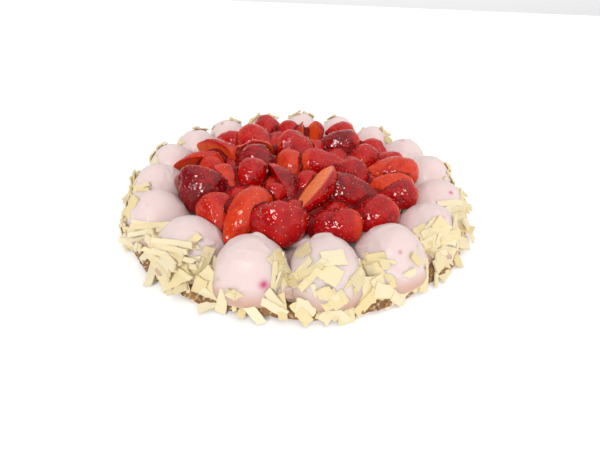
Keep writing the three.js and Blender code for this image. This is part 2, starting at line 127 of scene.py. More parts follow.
# How many squares each kind of flake has along it and across it.
LARGE_GRID = (12, 5)
SHAVING_GRID = (9, 3)
SMALL_GRID = (5, 3)
SMALL_THINNESS = 0.75  # of the smallest flakes, as a share of the others' thickness
FLAKE_CREASE = 40  # degrees over which a flake's edges are sharp

# Domes that are higher or lower than the usual ones, as a share, or that sit further in.
ODD_DOMES = {
    2: {"high": 1.06},
    3: {"high": 1.06},
    5: {"high": 0.95},
    9: {"high": 1.08},
    10: {"high": 1.05},
    13: {"inward": 2},
    14: {"inward": 4},
    15: {"inward": 4, "high": 1.02},
}

# Creases and crests in the cream: two ends, how wide, and how high (or deep, below 0).
CREAM_FOLDS = [
    ((-19, -99, 29), (-12, -101, 30.5), 2.2, 1.6),
    ((13, -97, 29), (20, -99, 31), 2.4, 1.6),
    ((20, -103, 33), (29, -106, 33), 3.0, 0.7),
    ((-51, -102, 26), (-46, -101, 25), 0.9, -0.9),
    ((-50, -104, 24), (-43, -99, 21), 1.0, 0.8),
    ((-45, -104, 22), (-42, -99, 20), 0.9, -0.8),
    ((-49, -106, 20), (-43, -104, 18), 1.1, 0.7),
    ((-51, -109, 17), (-47, -110, 16), 1.6, -1.2),
    ((50, -110, 22), (60, -112, 18), 1.3, -0.6),
    ((52, -112, 19), (62, -113, 14), 1.6, 0.9),
    ((60, -112, 16), (68, -108, 12), 1.4, -0.9),
    ((-2, -118, 14), (6, -119, 13), 1.8, 0.9),
]

# Spots of fruit in the cream: the number of the dome each lies on, how far round it from its outer side and
# how far up it, how wide it is, and how strong.
CREAM_SPOTS = [
    (1, 38, 27, 2.4, 1.0),
    (1, 45, 20, 3.6, 0.45),
    (3, -28, 52, 1.0, 0.7),
    (4, -25, 65, 1.1, 0.4),
    (5, -55, 62, 1.3, 0.9),
    (7, 170, 80, 1.4, 0.8),
    (8, -80, 70, 1.4, 0.6),
    (9, -60, 50, 1.2, 0.7),
    (10, -40, 25, 1.5, 0.8),
    (12, 100, 70, 1.5, 0.9),
    (14, -40, 45, 1.4, 0.8),
    (16, 42, 26, 1.6, 0.7),
    (16, 50, 65, 0.8, 0.4),
    (17, 0, 52, 0.8, 0.4),
    (17, 60, 25, 1.6, 0.5),
]
STRONG_SPOT = 0.85  # flakes keep clear of spots stronger than this
SPOT_CLEARANCE = 11

# The larger flakes of chocolate: the number of the dome each lies on, how far round it from its outer side
# and how far up it, its length and width, and how far its length turns up from level.
FLAKES = [
    (1, 12, 6, 22, 6, -38),
    (1, -62, 16, 17, 9, -62),
    (1, 45, 8, 9, 6, -60),
    (1, 65, 15, 17, 7, 60),
    (1, 86, 30, 18, 6, 70),
    (1, 84, 45, 12, 7, -10),
    (2, -92, 50, 14, 8, 80),
    (17, 55, 50, 16, 5, 35),
    (17, 5, 44, 28, 5, -2),
    (17, 5, 32, 25, 8, 4),
    (17, -5, 20, 18, 6, -15),
    (17, 72, 25, 18, 6, 50),
    (17, 38, 6, 10, 8, 20),
    (16, 5, 3, 20, 4, 5),
    (16, 45, 2, 26, 6, 8),
    (16, -22, 14, 20, 7, 85),
    (16, 70, 18, 16, 6, 0),
    (15, -5, 28, 24, 6, 80),
    (15, 25, 8, 14, 7, 85),
    (14, -20, 18, 12, 6, 120),
    (12, 5, 42, 10, 6, 15),
    (11, 0, 38, 12, 6, 50),
    (10, 5, 36, 18, 4, 70),
    (10, -15, 38, 14, 5, 110),
    (2, -38, 46, 18, 4, 60),
    (2, 8, 62, 13, 8, -3),
    (2, -8, 44, 12, 9, -30),
    (2, -68, 20, 17, 5, 55),
    (2, 28, 22, 10, 7, -60),
    (2, -12, 6, 11, 8, 35),
    (2, 8, 12, 11, 8, -60),
    (2, 62, 24, 13, 7, -55),
    (3, -55, 24, 22, 10, -55),
    (3, -68, 10, 20, 8, -50),
    (3, -22, 20, 16, 5, 30),
    (4, -55, 46, 14, 12, -30),
    (4, -76, 34, 15, 9, -40),
    (4, -55, 22, 18, 11, -50),
    (4, -80, 12, 14, 7, 20),
    (4, -40, 8, 14, 8, 10),
    (4, 12, 14, 16, 9, -20),
    (5, -45, 14, 16, 10, -40),
    (5, -60, 32, 14, 7, 20),
    (5, -15, 26, 14, 6, -50),
    (5, 45, 30, 12, 5, 30),
    (6, 0, 38, 18, 7, -45),
    (6, 30, 26, 18, 6, 15),
    (6, -30, 18, 14, 7, -30),
    (7, 10, 34, 12, 5, 60),
]

# The flakes that lean on the edge of the base: their heading, distance from the middle and height, their
# length and width, how far the length turns up from level, and how far the broad face looks up.
EDGE_FLAKES = [
    (-118, 130, 8, 21, 11, 42, 35),
    (-112, 129, 7, 15, 8, 78, 30),
    (-99, 131, 6, 24, 6, -38, 40),
    (-93, 130, 7, 16, 5, -25, 30),
    (-86, 130, 8, 11, 10, -10, 35),
    (-87, 132, 6, 13, 6, 130, 45),
    (-81, 132, 6, 12, 6, 50, 45),
    (-72, 130, 7, 18, 6, 35, 35),
    (-66, 129, 9, 18, 8, -25, 35),
    (-55, 130, 9, 20, 9, 75, 30),
    (-35, 131, 10, 24, 9, -38, 45),
    (-46, 129, 8, 14, 8, -8, 40),
    (-140, 129, 8, 16, 7, -15, 30),
    (-28, 133, 12, 18, 9, 70, 40),
    (-15, 132, 12, 16, 10, -30, 35),
    (-8, 131, 14, 14, 8, 60, 40),
    (2, 131, 12, 16, 7, -50, 35),
    (22, 130, 12, 12, 5, -40, 30),
    (-150, 130, 9, 16, 6, 70, 25),
    (-168, 130, 10, 16, 6, 95, 25),
    (170, 129, 12, 14, 5, 60, 30),
]

# Bundles of shavings that lie side by side, given as the larger flakes are, with how many there are.
FLAKE_BUNDLES = [
    (17, 12, 38, 30, 3, -2, 5),
    (17, -8, 24, 27, 4, -8, 5),
    (17, 40, 30, 12, 3, -8, 4),
    (17, 58, 12, 12, 4, 60, 4),
    (16, 40, 6, 27, 4, 8, 5),
    (16, 62, 26, 24, 3, 2, 4),
    (16, -12, 8, 16, 5, 78, 6),
    (15, -10, 24, 20, 3, 82, 5),
    (15, 15, 12, 12, 5, 70, 5),
    (15, 60, 36, 14, 3, 15, 2),
    (14, -5, 18, 14, 3, 100, 5),
    (13, 5, 30, 12, 4, 30, 4),
    (12, 10, 36, 11, 3, 20, 4),
    (11, -10, 34, 10, 3, 60, 4),
    (10, 0, 32, 15, 3, 75, 5),
    (9, 0, 30, 10, 3, 40, 4),
    (1, 70, 22, 15, 4, 62, 5),
    (1, 88, 38, 12, 4, 60, 4),
    (1, -70, 8, 12, 4, -50, 4),
    (2, -45, 40, 14, 3, 60, 4),
    (2, -70, 12, 12, 4, 55, 4),
    (2, 0, 14, 9, 6, 40, 5),
    (2, 48, 16, 10, 6, 10, 5),
    (2, 75, 14, 9, 5, -50, 4),
    (3, -60, 20, 18, 4, -58, 4),
    (3, 55, 14, 12, 6, 20, 4),
    (4, -60, 32, 14, 7, -35, 6),
    (4, -35, 18, 13, 6, -15, 6),
    (4, -75, 14, 12, 5, 15, 5),
    (5, -30, 14, 14, 6, -30, 6),
    (5, -65, 26, 14, 4, 15, 5),
    (5, 20, 28, 12, 4, 35, 5),
    (6, -15, 24, 15, 5, -40, 6),
    (6, 25, 34, 14, 4, 10, 5),
    (7, 5, 28, 11, 4, 50, 4),
    (8, 5, 32, 10, 4, 40, 3),
    (8, -60, 62, 12, 4, 85, 3),
    (9, 80, 66, 11, 4, 50, 4),
    (10, 60, 64, 17, 3, 80, 6),
    (10, -40, 60, 12, 3, 70, 3),
    (11, 80, 62, 12, 5, 70, 4),
    (11, -90, 66, 11, 5, 60, 4),
    (12, -80, 64, 13, 4, 80, 5),
    (13, -70, 62, 13, 4, 70, 4),
    (14, -20, 50, 14, 4, 80, 5),
    (5, -65, 14, 24, 7, 0, 3),
]

# Domes with fewer small flakes than the others, as shares.
FLAKE_SHARES = {1: 0.5, 2: 0.7, 3: 0.65, 15: 0.6, 16: 0.3, 17: 0.35}

# Each strawberry piece: where the middle of its cut lies, its length and width, where its tip points
# and where its skin faces, both as heading and rise, and how much of the whole berry it is, as an angle.
STRAWBERRIES = [
    ((-34, 78, 24), (32, 25), (-90, -20), (-90, 70), 180),
    ((-38, 41, 24), (41, 30), (-40, -15), (-80, 60), 180),
    ((-11, 67, 26), (25, 21), (-90, -20), (-90, 70), 180),
    ((5, 62, 27), (26, 22), (100, 60), (180, 0), 140),
    ((13, 57, 28), (28, 22), (-80, -45), (35, -10), 180),
    ((40, 77, 24), (30, 24), (180, 0), (-90, 80), 180),
    ((35, 39, 27), (41, 27), (185, -5), (-90, 50), 130),
    ((-65, 44, 22), (30, 24), (180, 0), (-90, 80), 180),
    ((-1, 23, 27), (38, 30), (-20, -10), (-90, 75), 180),
    ((-68, 10, 24), (46, 32), (150, 10), (50, 10), 180),
    ((-39, 9, 26), (40, 26), (190, -5), (80, 10), 180),
    ((-30, -4, 26), (33, 27), (-45, -15), (-90, 70), 180),
    ((69, 36, 19), (33, 27), (-60, -15), (-90, 75), 180),
    ((55, 13, 25), (28, 24), (-120, -10), (-100, 60), 180),
    ((-78, -5, 21), (42, 26), (185, 0), (80, 25), 180),
    ((-61, -14, 21), (33, 22), (-45, -15), (-110, 60), 120),
    ((-5, -11, 28), (29, 21), (-80, -15), (-90, 50), 180),
    ((22, -9, 29), (42, 24), (-5, -5), (-90, 65), 180),
    ((74, 12, 23), (31, 21), (180, 0), (-90, 80), 120),
    ((72, -12, 26), (43, 25), (180, -5), (-90, 60), 180),
    ((-32, -32, 28), (29, 23), (-105, -25), (-90, 60), 180),
    ((-10, -45, 24), (46, 27), (-60, -20), (25, 10), 180),
    ((7, -38, 27), (23, 19), (-120, -10), (-90, 60), 180),
    ((-49, -36, 25), (30, 20), (-50, -20), (20, 60), 120),
    ((-65, -47, 22), (32, 37), (-100, -25), (-90, 70), 180),
    ((41, -26, 27), (27, 26), (-80, -25), (-90, 50), 180),
    ((10, -58, 34), (47, 24), (-123, -23), (-15, -50), 180),
    ((68, -30, 23), (36, 23), (180, 0), (-90, 50), 120),
    ((71, -40, 22), (31, 22), (190, -10), (-90, 65), 180),
    ((-13, -56, 28), (14, 16), (-90, -20), (-90, 70), 180),
    ((2, -72, 22), (24, 18), (-60, -10), (-90, 60), 180),
    ((-29, -76, 25), (43, 23), (-120, -22), (-90, 60), 180),
    ((-48, -71, 20), (31, 25), (-70, -20), (-100, 60), 180),
    ((-8, -83, 21), (27, 36), (-87, -22), (-90, 60), 180),
    ((25, -78, 22), (35, 23), (178, -5), (-90, 55), 180),
    ((51, -66, 21), (33, 25), (-158, -10), (-90, 65), 180),
    ((38, -46, 25), (48, 28), (-10, -10), (-90, 60), 180),
    ((-54, 6, 20), (32, 24), (-80, 0), (0, 90), 180),
    ((-20, 42, 22), (30, 24), (-100, 0), (0, 90), 180),
    ((15, 34, 22), (30, 24), (60, 0), (0, 90), 180),
    ((42, -12, 22), (34, 26), (-80, 0), (0, 90), 180),
]

# The strawberries of the lower layer, half sunk in the bed: where each lies and where its tip points.
SUNK_STRAWBERRIES = [
    ((-46, -18), 60),
    ((33, 56), 160),
    ((30, 18), -150),
    ((60, 56), 140),
    ((-67, 27), 30),
    ((6, 80), 180),
    ((-54, 62), -60),
    ((22, -62), -160),
    ((-40, -52), -120),
    ((76, 24), -90),
    ((-1, 45), 100),
    ((-74, -26), -100),
    ((76, -6), -80),
    ((60, -46), 30),
    ((-10, -30), 40),
    ((57, -20), 0),
]
SUNK_SIZE = (32, 26)
SUNK_DEPTH = 5
PIT_WIDTH = 1.25
RAY_WIDTH = 1.3  # of the paler rays in a cut face
# What every point of a strawberry holds for its material.
BERRY_LAYERS = ("ripeness", "cut", "pit", "paleness", "depth", "along")

# How ripe each skin is, from 0 orange over 0.5 red to 1 maroon.
USUAL_RIPENESS = 0.55
# Strawberry 37's ripeness is set higher partly to paint shade: some of its dark maroon stands in for the
# deep shade beside the cut of strawberry 27.
RIPENESS = {
    1: 0.6, 2: 0.45, 4: 0.6, 5: 0.5, 7: 0.92, 8: 0.6, 9: 0.6, 10: 0.5, 11: 0.45, 12: 0.95,
    14: 0.55, 15: 0.4, 16: 0.45, 17: 0.22, 18: 0.6, 19: 0.6, 20: 0.3, 21: 0.6, 22: 0.88,
    24: 0.3, 25: 0.98, 26: 0.74, 27: 0.66, 28: 0.12, 29: 0.75, 32: 0.2, 33: 0.35, 34: 0.62,
    35: 0.68, 36: 0.66, 37: 0.85,
}
# What share of each strawberry's seeds are golden, as others are stained by the glaze.
USUAL_GOLDEN_SHARE = 0.04
GOLDEN_SHARES = {9: 0.2, 20: 0.15, 21: 0.2, 25: 0.02, 26: 0.06, 32: 0.4, 34: 0.75, 35: 0.06, 36: 0.06}
# How much less ripe each stalk end and each tip is than the middle.
STALK_PALENESS = 0.6
USUAL_TIP_PALENESS = 0.0
TIP_PALENESS = {18: 0.6, 20: 0.45, 14: 0.2, 28: 0.3}
# How pale each cut face is, from 0 red to 1 light orange.
USUAL_FLESH_PALENESS = 0.3
FLESH_PALENESS = {2: 0.2, 4: 0.8, 5: 0.45, 10: 0.55, 11: 0.3, 14: 0.7, 15: 0.4, 16: 0.5, 22: 0.0, 27: 0.85}


def srgb(code):
    """The linear colour of an sRGB hex value."""
    shares = [int(code[i : i + 2], 16) / 255 for i in (0, 2, 4)]
    return tuple(c / 12.92 if c <= 0.04045 else ((c + 0.055) / 1.055) ** 2.4 for c in shares)


def colours(settings, *names):
    """Colour settings with their alpha, as a node's sockets take them."""
    return [(*getattr(settings, name), 1) for name in names]


# ---------------------------------------------------------------- settings


def size_setting(name, description, millimetres):
    """A setting that holds a length."""
    return FloatProperty(name=name, description=description, default=millimetres * MM, subtype="DISTANCE")


def colour_setting(name, description, code):
    """A setting that holds a colour."""
    return FloatVectorProperty(name=name, description=description, default=srgb(code), subtype="COLOR")


def light_setting(name, description, default):
    """A setting that holds how strong a light is."""
    return FloatProperty(name=name, description=description, default=default, min=0)


def count_setting(name, description, default):
    """A setting that holds how many there are by each dome."""
    return IntProperty(name=name, description=description, default=default, min=0, max=60)


class CrustSettings(bpy.types.PropertyGroup):
    """The baked base."""

    radius: size_setting("Radius", "Radius of the baked base", 133)
    thickness: size_setting("Thickness", "Thickness of the base", 5.5)
    crumb: size_setting("Crumb", "How far crumbs stand out", 0.9)
    baked: colour_setting("Baked", "Colour of the crust", "94693f")
    browned: colour_setting("Browned", "Colour of its darker parts", "5f3c20")
    floury: colour_setting("Floury", "Colour of its palest crumbs", "c4a882")


class CreamSettings(bpy.types.PropertyGroup):
    """The piped domes and the cream under the strawberries."""

    dome_width: size_setting("Dome Width", "Width along the ring", 42)
    dome_depth: size_setting("Dome Depth", "Width across the ring", 40)
    dome_rise: size_setting("Dome Rise", "Height over the base", 26)
    fullness: FloatProperty(
        name="Fullness",
        description="How square a dome is from above, 2 for round",
        default=2.3,
        min=2,
        max=4,
    )
    skirt_height: size_setting("Skirt Height", "Top of the cream between domes", 12)
    bed_radius: size_setting("Bed Radius", "Radius of the cream bed", 88)
    bed_edge: size_setting("Bed Edge", "Height of the bed at its edge", 14)
    bed_crown: size_setting("Bed Crown", "How much higher the middle is", 9)
    cream: colour_setting("Cream", "Colour of the cream", "dac6c3")
    # Painted shade: the cream is coloured a darker pinkish brown near the base, for the shade at the feet
    # of the domes.
    painted_foot_shade: colour_setting("Low Cream", "Colour near the base", "c49d8b")
    spot: colour_setting("Fruit Spot", "Colour of fruit in the cream", "c0306a")
    juice: colour_setting("Juice", "Colour of cream soaked with juice", "7a0408")


class FruitSettings(bpy.types.PropertyGroup):
    """The strawberries and their glaze."""

    seed_spacing: size_setting("Seed Spacing", "Distance between seeds", 4.3)
    seed_length: size_setting("Seed Length", "Length of a seed", 1.15)
    pit_depth: size_setting("Pit Depth", "Depth of the pit of a seed", 0.35)
    cut_edge: size_setting("Cut Edge", "Rounding of the cut's edge", 1.2)
    pool_radius: size_setting("Pool Radius", "How round the glaze lies in gaps", 4.2)
    orange: colour_setting("Unripe Skin", "Colour of the least ripe skin", "c83512")
    red: colour_setting("Ripe Skin", "Colour of ripe skin", "ae0608")
    maroon: colour_setting("Dark Skin", "Colour of the ripest skin", "720510")
    deep_flesh: colour_setting("Red Flesh", "Colour of the reddest cut faces", "980705")
    flesh: colour_setting("Flesh", "Colour of a usual cut face", "dc4a18")
    pale_flesh: colour_setting("Pale Flesh", "Colour of a pale cut face", "ff9458")
    seed: colour_setting("Seed", "Colour of the palest seeds", "d8953f")
    dull_seed: colour_setting("Dull Seed", "Colour of the dullest seeds", "bc4022")
    glaze: colour_setting("Glaze", "Colour of glaze where it pools", "6a0407")


class ChocolateSettings(bpy.types.PropertyGroup):
    """The white chocolate flakes."""

    thickness: size_setting("Thickness", "Thickness of a flake", 1.2)
    side_count: count_setting("Side Flakes", "Small flakes on each dome", 12)
    edge_count: count_setting("Edge Flakes", "Small flakes on the base by each dome", 12)
    small_length: size_setting("Small Length", "Length of the longest small flake", 16)
    ivory: colour_setting("Ivory", "Colour of the chocolate", "dccfae")
    butter: colour_setting("Butter", "Colour of its yellower flakes", "d8c490")


class StageSettings(bpy.types.PropertyGroup):
    """The floor and the lights."""

    floor: colour_setting("Floor", "Colour of the floor", "fbfbfa")
    horizon: light_setting("Wall Light", "Strength of the light from the white wall", 0.8)
    sky: light_setting("Room Light", "Strength of the light from the rest of the room", 0.2)
    lamp: light_setting("Lamp", "Strength of the small lamp in front", 1.85)
    side: light_setting("Side Light", "Strength of the broad light on the right", 0.72)
    back: light_setting("Back Light", "Strength of the broad light behind", 0.7)


# ---------------------------------------------------------------- common steps


def draw(seed):
    """A repeatable draw between 0 and 1 for each number."""
    return (math.sin(seed * 12.9898) * 43758.5453) % 1


def between(low, high, seed, power=1):
    """A repeatable draw between two values, mostly near the first where the power is over 1."""
    return low + (high - low) * draw(seed) ** power


def swing(width, seed):
    """A repeatable draw from half a width under 0 to half a width over it."""
    return width * (draw(seed) - 0.5)


def direction(heading, rise):
    """The direction at a heading and rise."""
    level = math.cos(math.radians(rise))
    turn = math.radians(heading)
    return Vector((level * math.cos(turn), level * math.sin(turn), math.sin(math.radians(rise))))


def frame_of(at, along, facing):
    """A place at a point, +X along one direction and +Z as near as can be to another."""
    x = along.normalized()
    y = facing.cross(x).normalized()
    z = x.cross(y)
    place = Matrix((x, y, z)).transposed().to_4x4()
    place.translation = at
    return place


def soft_floor(value, rounding):
    """The value where it is well over 0, and 0 where it is well under, with a rounded bend between."""
    return (value + math.sqrt(value * value + rounding * rounding)) / 2


def smooth_step(value, low, high):
    """0 at or below low, 1 at or above high, and smooth between."""
    share = min(1.0, max(0.0, (value - low) / (high - low)))
    return share * share * (3 - 2 * share)


def lumps(point, size, salt=0.0):
    """Even noise between about -1 and 1 whose lumps are of a size in millimetres."""
    return noise.noise(Vector((point[0] / size + salt, point[1] / size - salt, point[2] / size)))


def fading(distance, width):
    """1 at no distance, less further off, and 0 well beyond the width."""
    return math.exp(-((distance / width) ** 2)) if distance < 4 * width else 0.0


def move_each(bm, place_of):
    """Moves every vertex to a place that is worked out from the mesh as it was."""
    bm.normal_update()
    places = [place_of(vert) for vert in bm.verts]
    for vert, place in zip(bm.verts, places):
        vert.co = place


def joined(parts):
    """One mesh of many, which are used up."""
    whole = bmesh.new()
    for part in parts:
        mesh = bpy.data.meshes.new("part")
        part.to_mesh(mesh)
        part.free()
        whole.from_mesh(mesh)
        bpy.data.meshes.remove(mesh)
    return whole


def node_names(stem, count):
    """The names of nodes that are numbered from 1."""
    return [f"{stem}_{number:02d}" for number in range(1, count + 1)]


def finish_piece(bm, name, material, nodes, sharp=None):
    """Turns a mesh in millimetres into a smooth piece in metres that rides on the tart."""
    bmesh.ops.scale(bm, vec=(MM, MM, MM), verts=bm.verts)
    mesh = bpy.data.meshes.new(name)
    bm.to_mesh(mesh)
    bm.free()
    mesh.shade_smooth()
    if sharp is not None:
        mesh.set_sharp_from_angle(angle=math.radians(sharp))
    mesh.materials.append(material)
    piece = bpy.data.objects.new(name, mesh)
    bpy.context.scene.collection.objects.link(piece)
    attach(piece, BODY)
    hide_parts(*nodes)


def add_node(tree, kind, inputs=None, **settings):
    """Adds a node. An input is named or numbered, and one given a node takes its first live output."""
    node = tree.nodes.new("ShaderNode" + kind)
    for key, value in settings.items():
        setattr(node, key, value)
    for key, value in (inputs or {}).items():
        named = (socket for socket in node.inputs if socket.name == key and not socket.is_unavailable)
        socket = node.inputs[key] if isinstance(key, int) else next(named)
        if isinstance(value, bpy.types.Node):
            value = next(output for output in value.outputs if not output.is_unavailable)
        if isinstance(value, bpy.types.NodeSocket):
            tree.links.new(value, socket)
        else:
            socket.default_value = value
    return node


def new_material(name):
    """An empty material and the tree of its nodes."""
    material = bpy.data.materials.new(name)
    material.use_nodes = True
    material.node_tree.nodes.clear()
    return material, material.node_tree


def finished(material, inputs):
    """The material once its surface has these values and reaches its output."""
    shader = add_node(material.node_tree, "BsdfPrincipled", inputs)
    add_node(material.node_tree, "OutputMaterial", {"Surface": shader})
    return material


def pattern_scale(size):
    """The scale of a noise on object coordinates whose lumps are of a size in millimetres."""
    return 1 / (size * MM)


def ripples(tree, size, detail, strength, depth):
    """The relief of lumps of a size and depth in millimetres."""
    place = add_node(tree, "TexCoord").outputs["Object"]
    lumpy = add_node(tree, "TexNoise", {"Vector": place, "Scale": pattern_scale(size), "Detail": detail})
    return add_node(tree, "Bump", {"Height": lumpy, "Strength": strength, "Distance": depth * MM})


# ---------------------------------------------------------------- materials


def baked_crust(settings):
    """Baked shortcrust: dull, brown and uneven, with darker patches of about 8 mm and pale crumbs."""
    material, tree = new_material("baked shortcrust")
    baked, browned, floury = colours(settings, "baked", "browned", "floury")
    place = add_node(tree, "TexCoord").outputs["Object"]
    patches = add_node(tree, "TexNoise", {"Vector": place, "Scale": pattern_scale(8), "Detail": 4.0})
    crumbs = add_node(tree, "TexNoise", {"Vector": place, "Scale": pattern_scale(1.8), "Detail": 3.0})
    dark = add_node(tree, "MapRange", {"Value": patches, "From Min": 0.42, "From Max": 0.66})
    pale = add_node(tree, "MapRange", {"Value": crumbs, "From Min": 0.52, "From Max": 0.68})
    tone = add_node(tree, "Mix", {"Factor": dark, "A": baked, "B": browned}, data_type="RGBA")
    tone = add_node(tree, "Mix", {"Factor": pale, "A": tone, "B": floury}, data_type="RGBA")
    relief = add_node(tree, "Bump", {"Height": crumbs, "Strength": 0.8, "Distance": 0.8 * MM})
    return finished(material, {"Base Color": tone, "Roughness": 0.85, "Normal": relief})


def whipped_cream(settings):
    """Set whipped cream with strawberry: pale pink, lit through a little, with a soft sheen."""
    material, tree = new_material("set strawberry cream")
    cream, painted_foot_shade, fruit, juice = colours(settings, "cream", "painted_foot_shade", "spot", "juice")
    place = add_node(tree, "TexCoord").outputs["Object"]
    height = add_node(tree, "SeparateXYZ", {"Vector": place}).outputs["Z"]
    spot = add_node(tree, "Attribute", attribute_name="spot").outputs["Fac"]
    soaked = add_node(tree, "Attribute", attribute_name="soaked").outputs["Fac"]
    # Painted shade: from 17 mm down to 7 mm the cream turns to the darker low colour, for the shade at the
    # feet of the domes and over the skirt.
    fall = {"Value": height, "From Min": 17 * MM, "From Max": 7 * MM}
    low = add_node(tree, "MapRange", fall, interpolation_type="SMOOTHSTEP")
    tone = add_node(tree, "Mix", {"Factor": low, "A": cream, "B": painted_foot_shade}, data_type="RGBA")
    tone = add_node(tree, "Mix", {"Factor": spot, "A": tone, "B": fruit}, data_type="RGBA")
    tone = add_node(tree, "Mix", {"Factor": soaked, "A": tone, "B": juice}, data_type="RGBA")
    look = {
        "Base Color": tone,
        "Roughness": 0.45,
        "Specular IOR Level": 0.25,
        "Subsurface Weight": 0.8,
        "Subsurface Radius": (1.0, 0.65, 0.58),
        "Subsurface Scale": 6 * MM,
        "Coat Weight": 0.15,
        "Coat Roughness": 0.25,
        # Fine unevenness breaks up the sheen.
        "Normal": ripples(tree, size=3, detail=2.0, strength=0.25, depth=0.6),
    }
    return finished(material, look)


def glazed_strawberry(settings):
    """A cut strawberry under clear fruit glaze: deep red skin, or wet flesh where it is cut."""
    material, tree = new_material("glazed strawberry")
    orange, red, maroon = colours(settings, "orange", "red", "maroon")
    deep, usual, light = colours(settings, "deep_flesh", "flesh", "pale_flesh")
    place = add_node(tree, "TexCoord").outputs["Object"]
    ripeness, cut, pit, pale, depth, along = [
        add_node(tree, "Attribute", attribute_name=name).outputs["Fac"] for name in BERRY_LAYERS
    ]
    blotch = add_node(tree, "TexNoise", {"Vector": place, "Scale": pattern_scale(7), "Detail": 3.0})
    uneven = add_node(tree, "Math", {0: blotch, 1: 1.0, 2: -0.5}, operation="MULTIPLY_ADD")
    ripe = add_node(tree, "Math", {0: ripeness, 1: uneven}, operation="ADD")
    reddening = add_node(tree, "MapRange", {"Value": ripe, "From Min": 0.15, "From Max": 0.5})
    darkening = add_node(tree, "MapRange", {"Value": ripe, "From Min": 0.6, "From Max": 1.0})
    bright = add_node(tree, "Mix", {"Factor": reddening, "A": orange, "B": red}, data_type="RGBA")
    skin = add_node(tree, "Mix", {"Factor": darkening, "A": bright, "B": maroon}, data_type="RGBA")
    # Painted shade: the skin is coloured a little darker in the pits round the seeds, where shade falls.
    shadow = add_node(tree, "MapRange", {"Value": pit, "To Min": 1.0, "To Max": 0.92})
    skin_with_pit_shade = add_node(tree, "VectorMath", {"Vector": skin, "Scale": shadow}, operation="SCALE")
    # Rays run from the core to the skin, so their pattern is fine along the berry and long across it.
    rays_place = add_node(tree, "CombineXYZ", {"X": along, "Y": depth})
    rays = add_node(tree, "TexNoise", {"Vector": rays_place, "Scale": 1.0, "Detail": 2.0})
    ray = add_node(tree, "MapRange", {"Value": rays, "From Min": 0.35, "From Max": 0.65})
    rim = add_node(tree, "MapRange", {"Value": depth, "From Min": 0.7, "From Max": 1.0})
    streaked = add_node(tree, "MapRange", {"Value": ray, "To Min": -0.07, "To Max": 0.04})
    tone = add_node(tree, "Math", {0: pale, 1: streaked}, operation="ADD")
    lower_half = add_node(tree, "MapRange", {"Value": tone, "From Min": 0.0, "From Max": 0.5})
    upper_half = add_node(tree, "MapRange", {"Value": tone, "From Min": 0.5, "From Max": 1.0})
    flesh = add_node(tree, "Mix", {"Factor": lower_half, "A": deep, "B": usual}, data_type="RGBA")
    flesh = add_node(tree, "Mix", {"Factor": upper_half, "A": flesh, "B": light}, data_type="RGBA")
    rimmed = add_node(tree, "Mix", {"Factor": rim, "A": flesh, "B": bright}, data_type="RGBA")
    surface = add_node(tree, "Mix", {"Factor": cut, "A": skin_with_pit_shade, "B": rimmed}, data_type="RGBA")
    look = {
        "Base Color": surface,
        "Roughness": 0.5,
        "Specular IOR Level": 0.0,
        "Subsurface Weight": 0.15,
        "Subsurface Radius": (1.0, 0.12, 0.08),
        "Subsurface Scale": 2 * MM,
        "Coat Weight": 1.0,
        "Coat Roughness": 0.04,
        "Coat IOR": 1.42,
        # The glaze lies in waves, which break reflections into sparkles.
        "Coat Normal": ripples(tree, size=2.1, detail=0.5, strength=1.0, depth=0.5),
    }
    return finished(material, look)


def strawberry_seed(settings):
    """A strawberry's seed: small, yellow and hard, shining a little under the glaze."""
    material, tree = new_material("strawberry seed")
    dull, golden = colours(settings, "dull_seed", "seed")
    gold = add_node(tree, "Attribute", attribute_name="gold").outputs["Fac"]
    tone = add_node(tree, "Mix", {"Factor": gold, "A": dull, "B": golden}, data_type="RGBA")
    return finished(material, {"Base Color": tone, "Roughness": 0.3, "Coat Weight": 0.6})


def fruit_glaze(settings):
    """Set fruit glaze where it pools: a deep red jelly with a wet surface."""
    material, tree = new_material("set fruit glaze")
    look = {
        "Base Color": colours(settings, "glaze")[0],
        "Roughness": 0.06,
        "IOR": 1.37,
        "Specular IOR Level": 0.25,
        "Normal": ripples(tree, size=3, detail=2.0, strength=0.5, depth=1),
        "Subsurface Weight": 0.2,
        "Subsurface Radius": (1.0, 0.1, 0.08),
        "Subsurface Scale": 2 * MM,
    }
    return finished(material, look)


def white_chocolate(settings):
    """Scraped white chocolate: ivory and waxy, with a soft edge to its shadows, some flakes yellower."""
    material, tree = new_material("scraped white chocolate")
    ivory, butter = colours(settings, "ivory", "butter")
    yellow = add_node(tree, "Attribute", attribute_name="butter").outputs["Fac"]
    look = {
        "Base Color": add_node(tree, "Mix", {"Factor": yellow, "A": ivory, "B": butter}, data_type="RGBA"),
        "Roughness": 0.5,
        "Subsurface Weight": 0.1,
        "Subsurface Radius": (1.0, 0.8, 0.45),
        "Subsurface Scale": 1 * MM,
        # Scrape marks and broken grain.
        "Normal": ripples(tree, size=1.2, detail=2.0, strength=0.3, depth=0.4),
    }
    return finished(material, look)


def pale_floor(settings):
    """A matt white table top."""
    material, _ = new_material("matt white board")
    floor = colours(settings, "floor")[0]
    return finished(material, {"Base Color": floor, "Roughness": 0.9, "Specular IOR Level": 0.1})


# ---------------------------------------------------------------- cream


def dome_layout():
    """Every dome's number, heading, height and step inwards."""
    layout = []
    for number in range(1, DOME_COUNT + 1):
        heading = FIRST_DOME_HEADING + (number - 1) * 360 / DOME_COUNT
        usual = {"number": number, "heading": heading, "high": 1, "inward": 0}
        layout.append({**usual, **ODD_DOMES.get(number, {})})
    return layout


def dome_radii(dome, cream):
    """Half the depth and width of a dome, and its rise."""
    halves = [width / MM / 2 for width in (cream.dome_depth, cream.dome_width)]
    return Vector((*halves, cream.dome_rise / MM * dome["high"]))


def cream_level(scene):
    """How high the underside of the cream lies."""
    return scene.tart_crust.thickness / MM + GAP


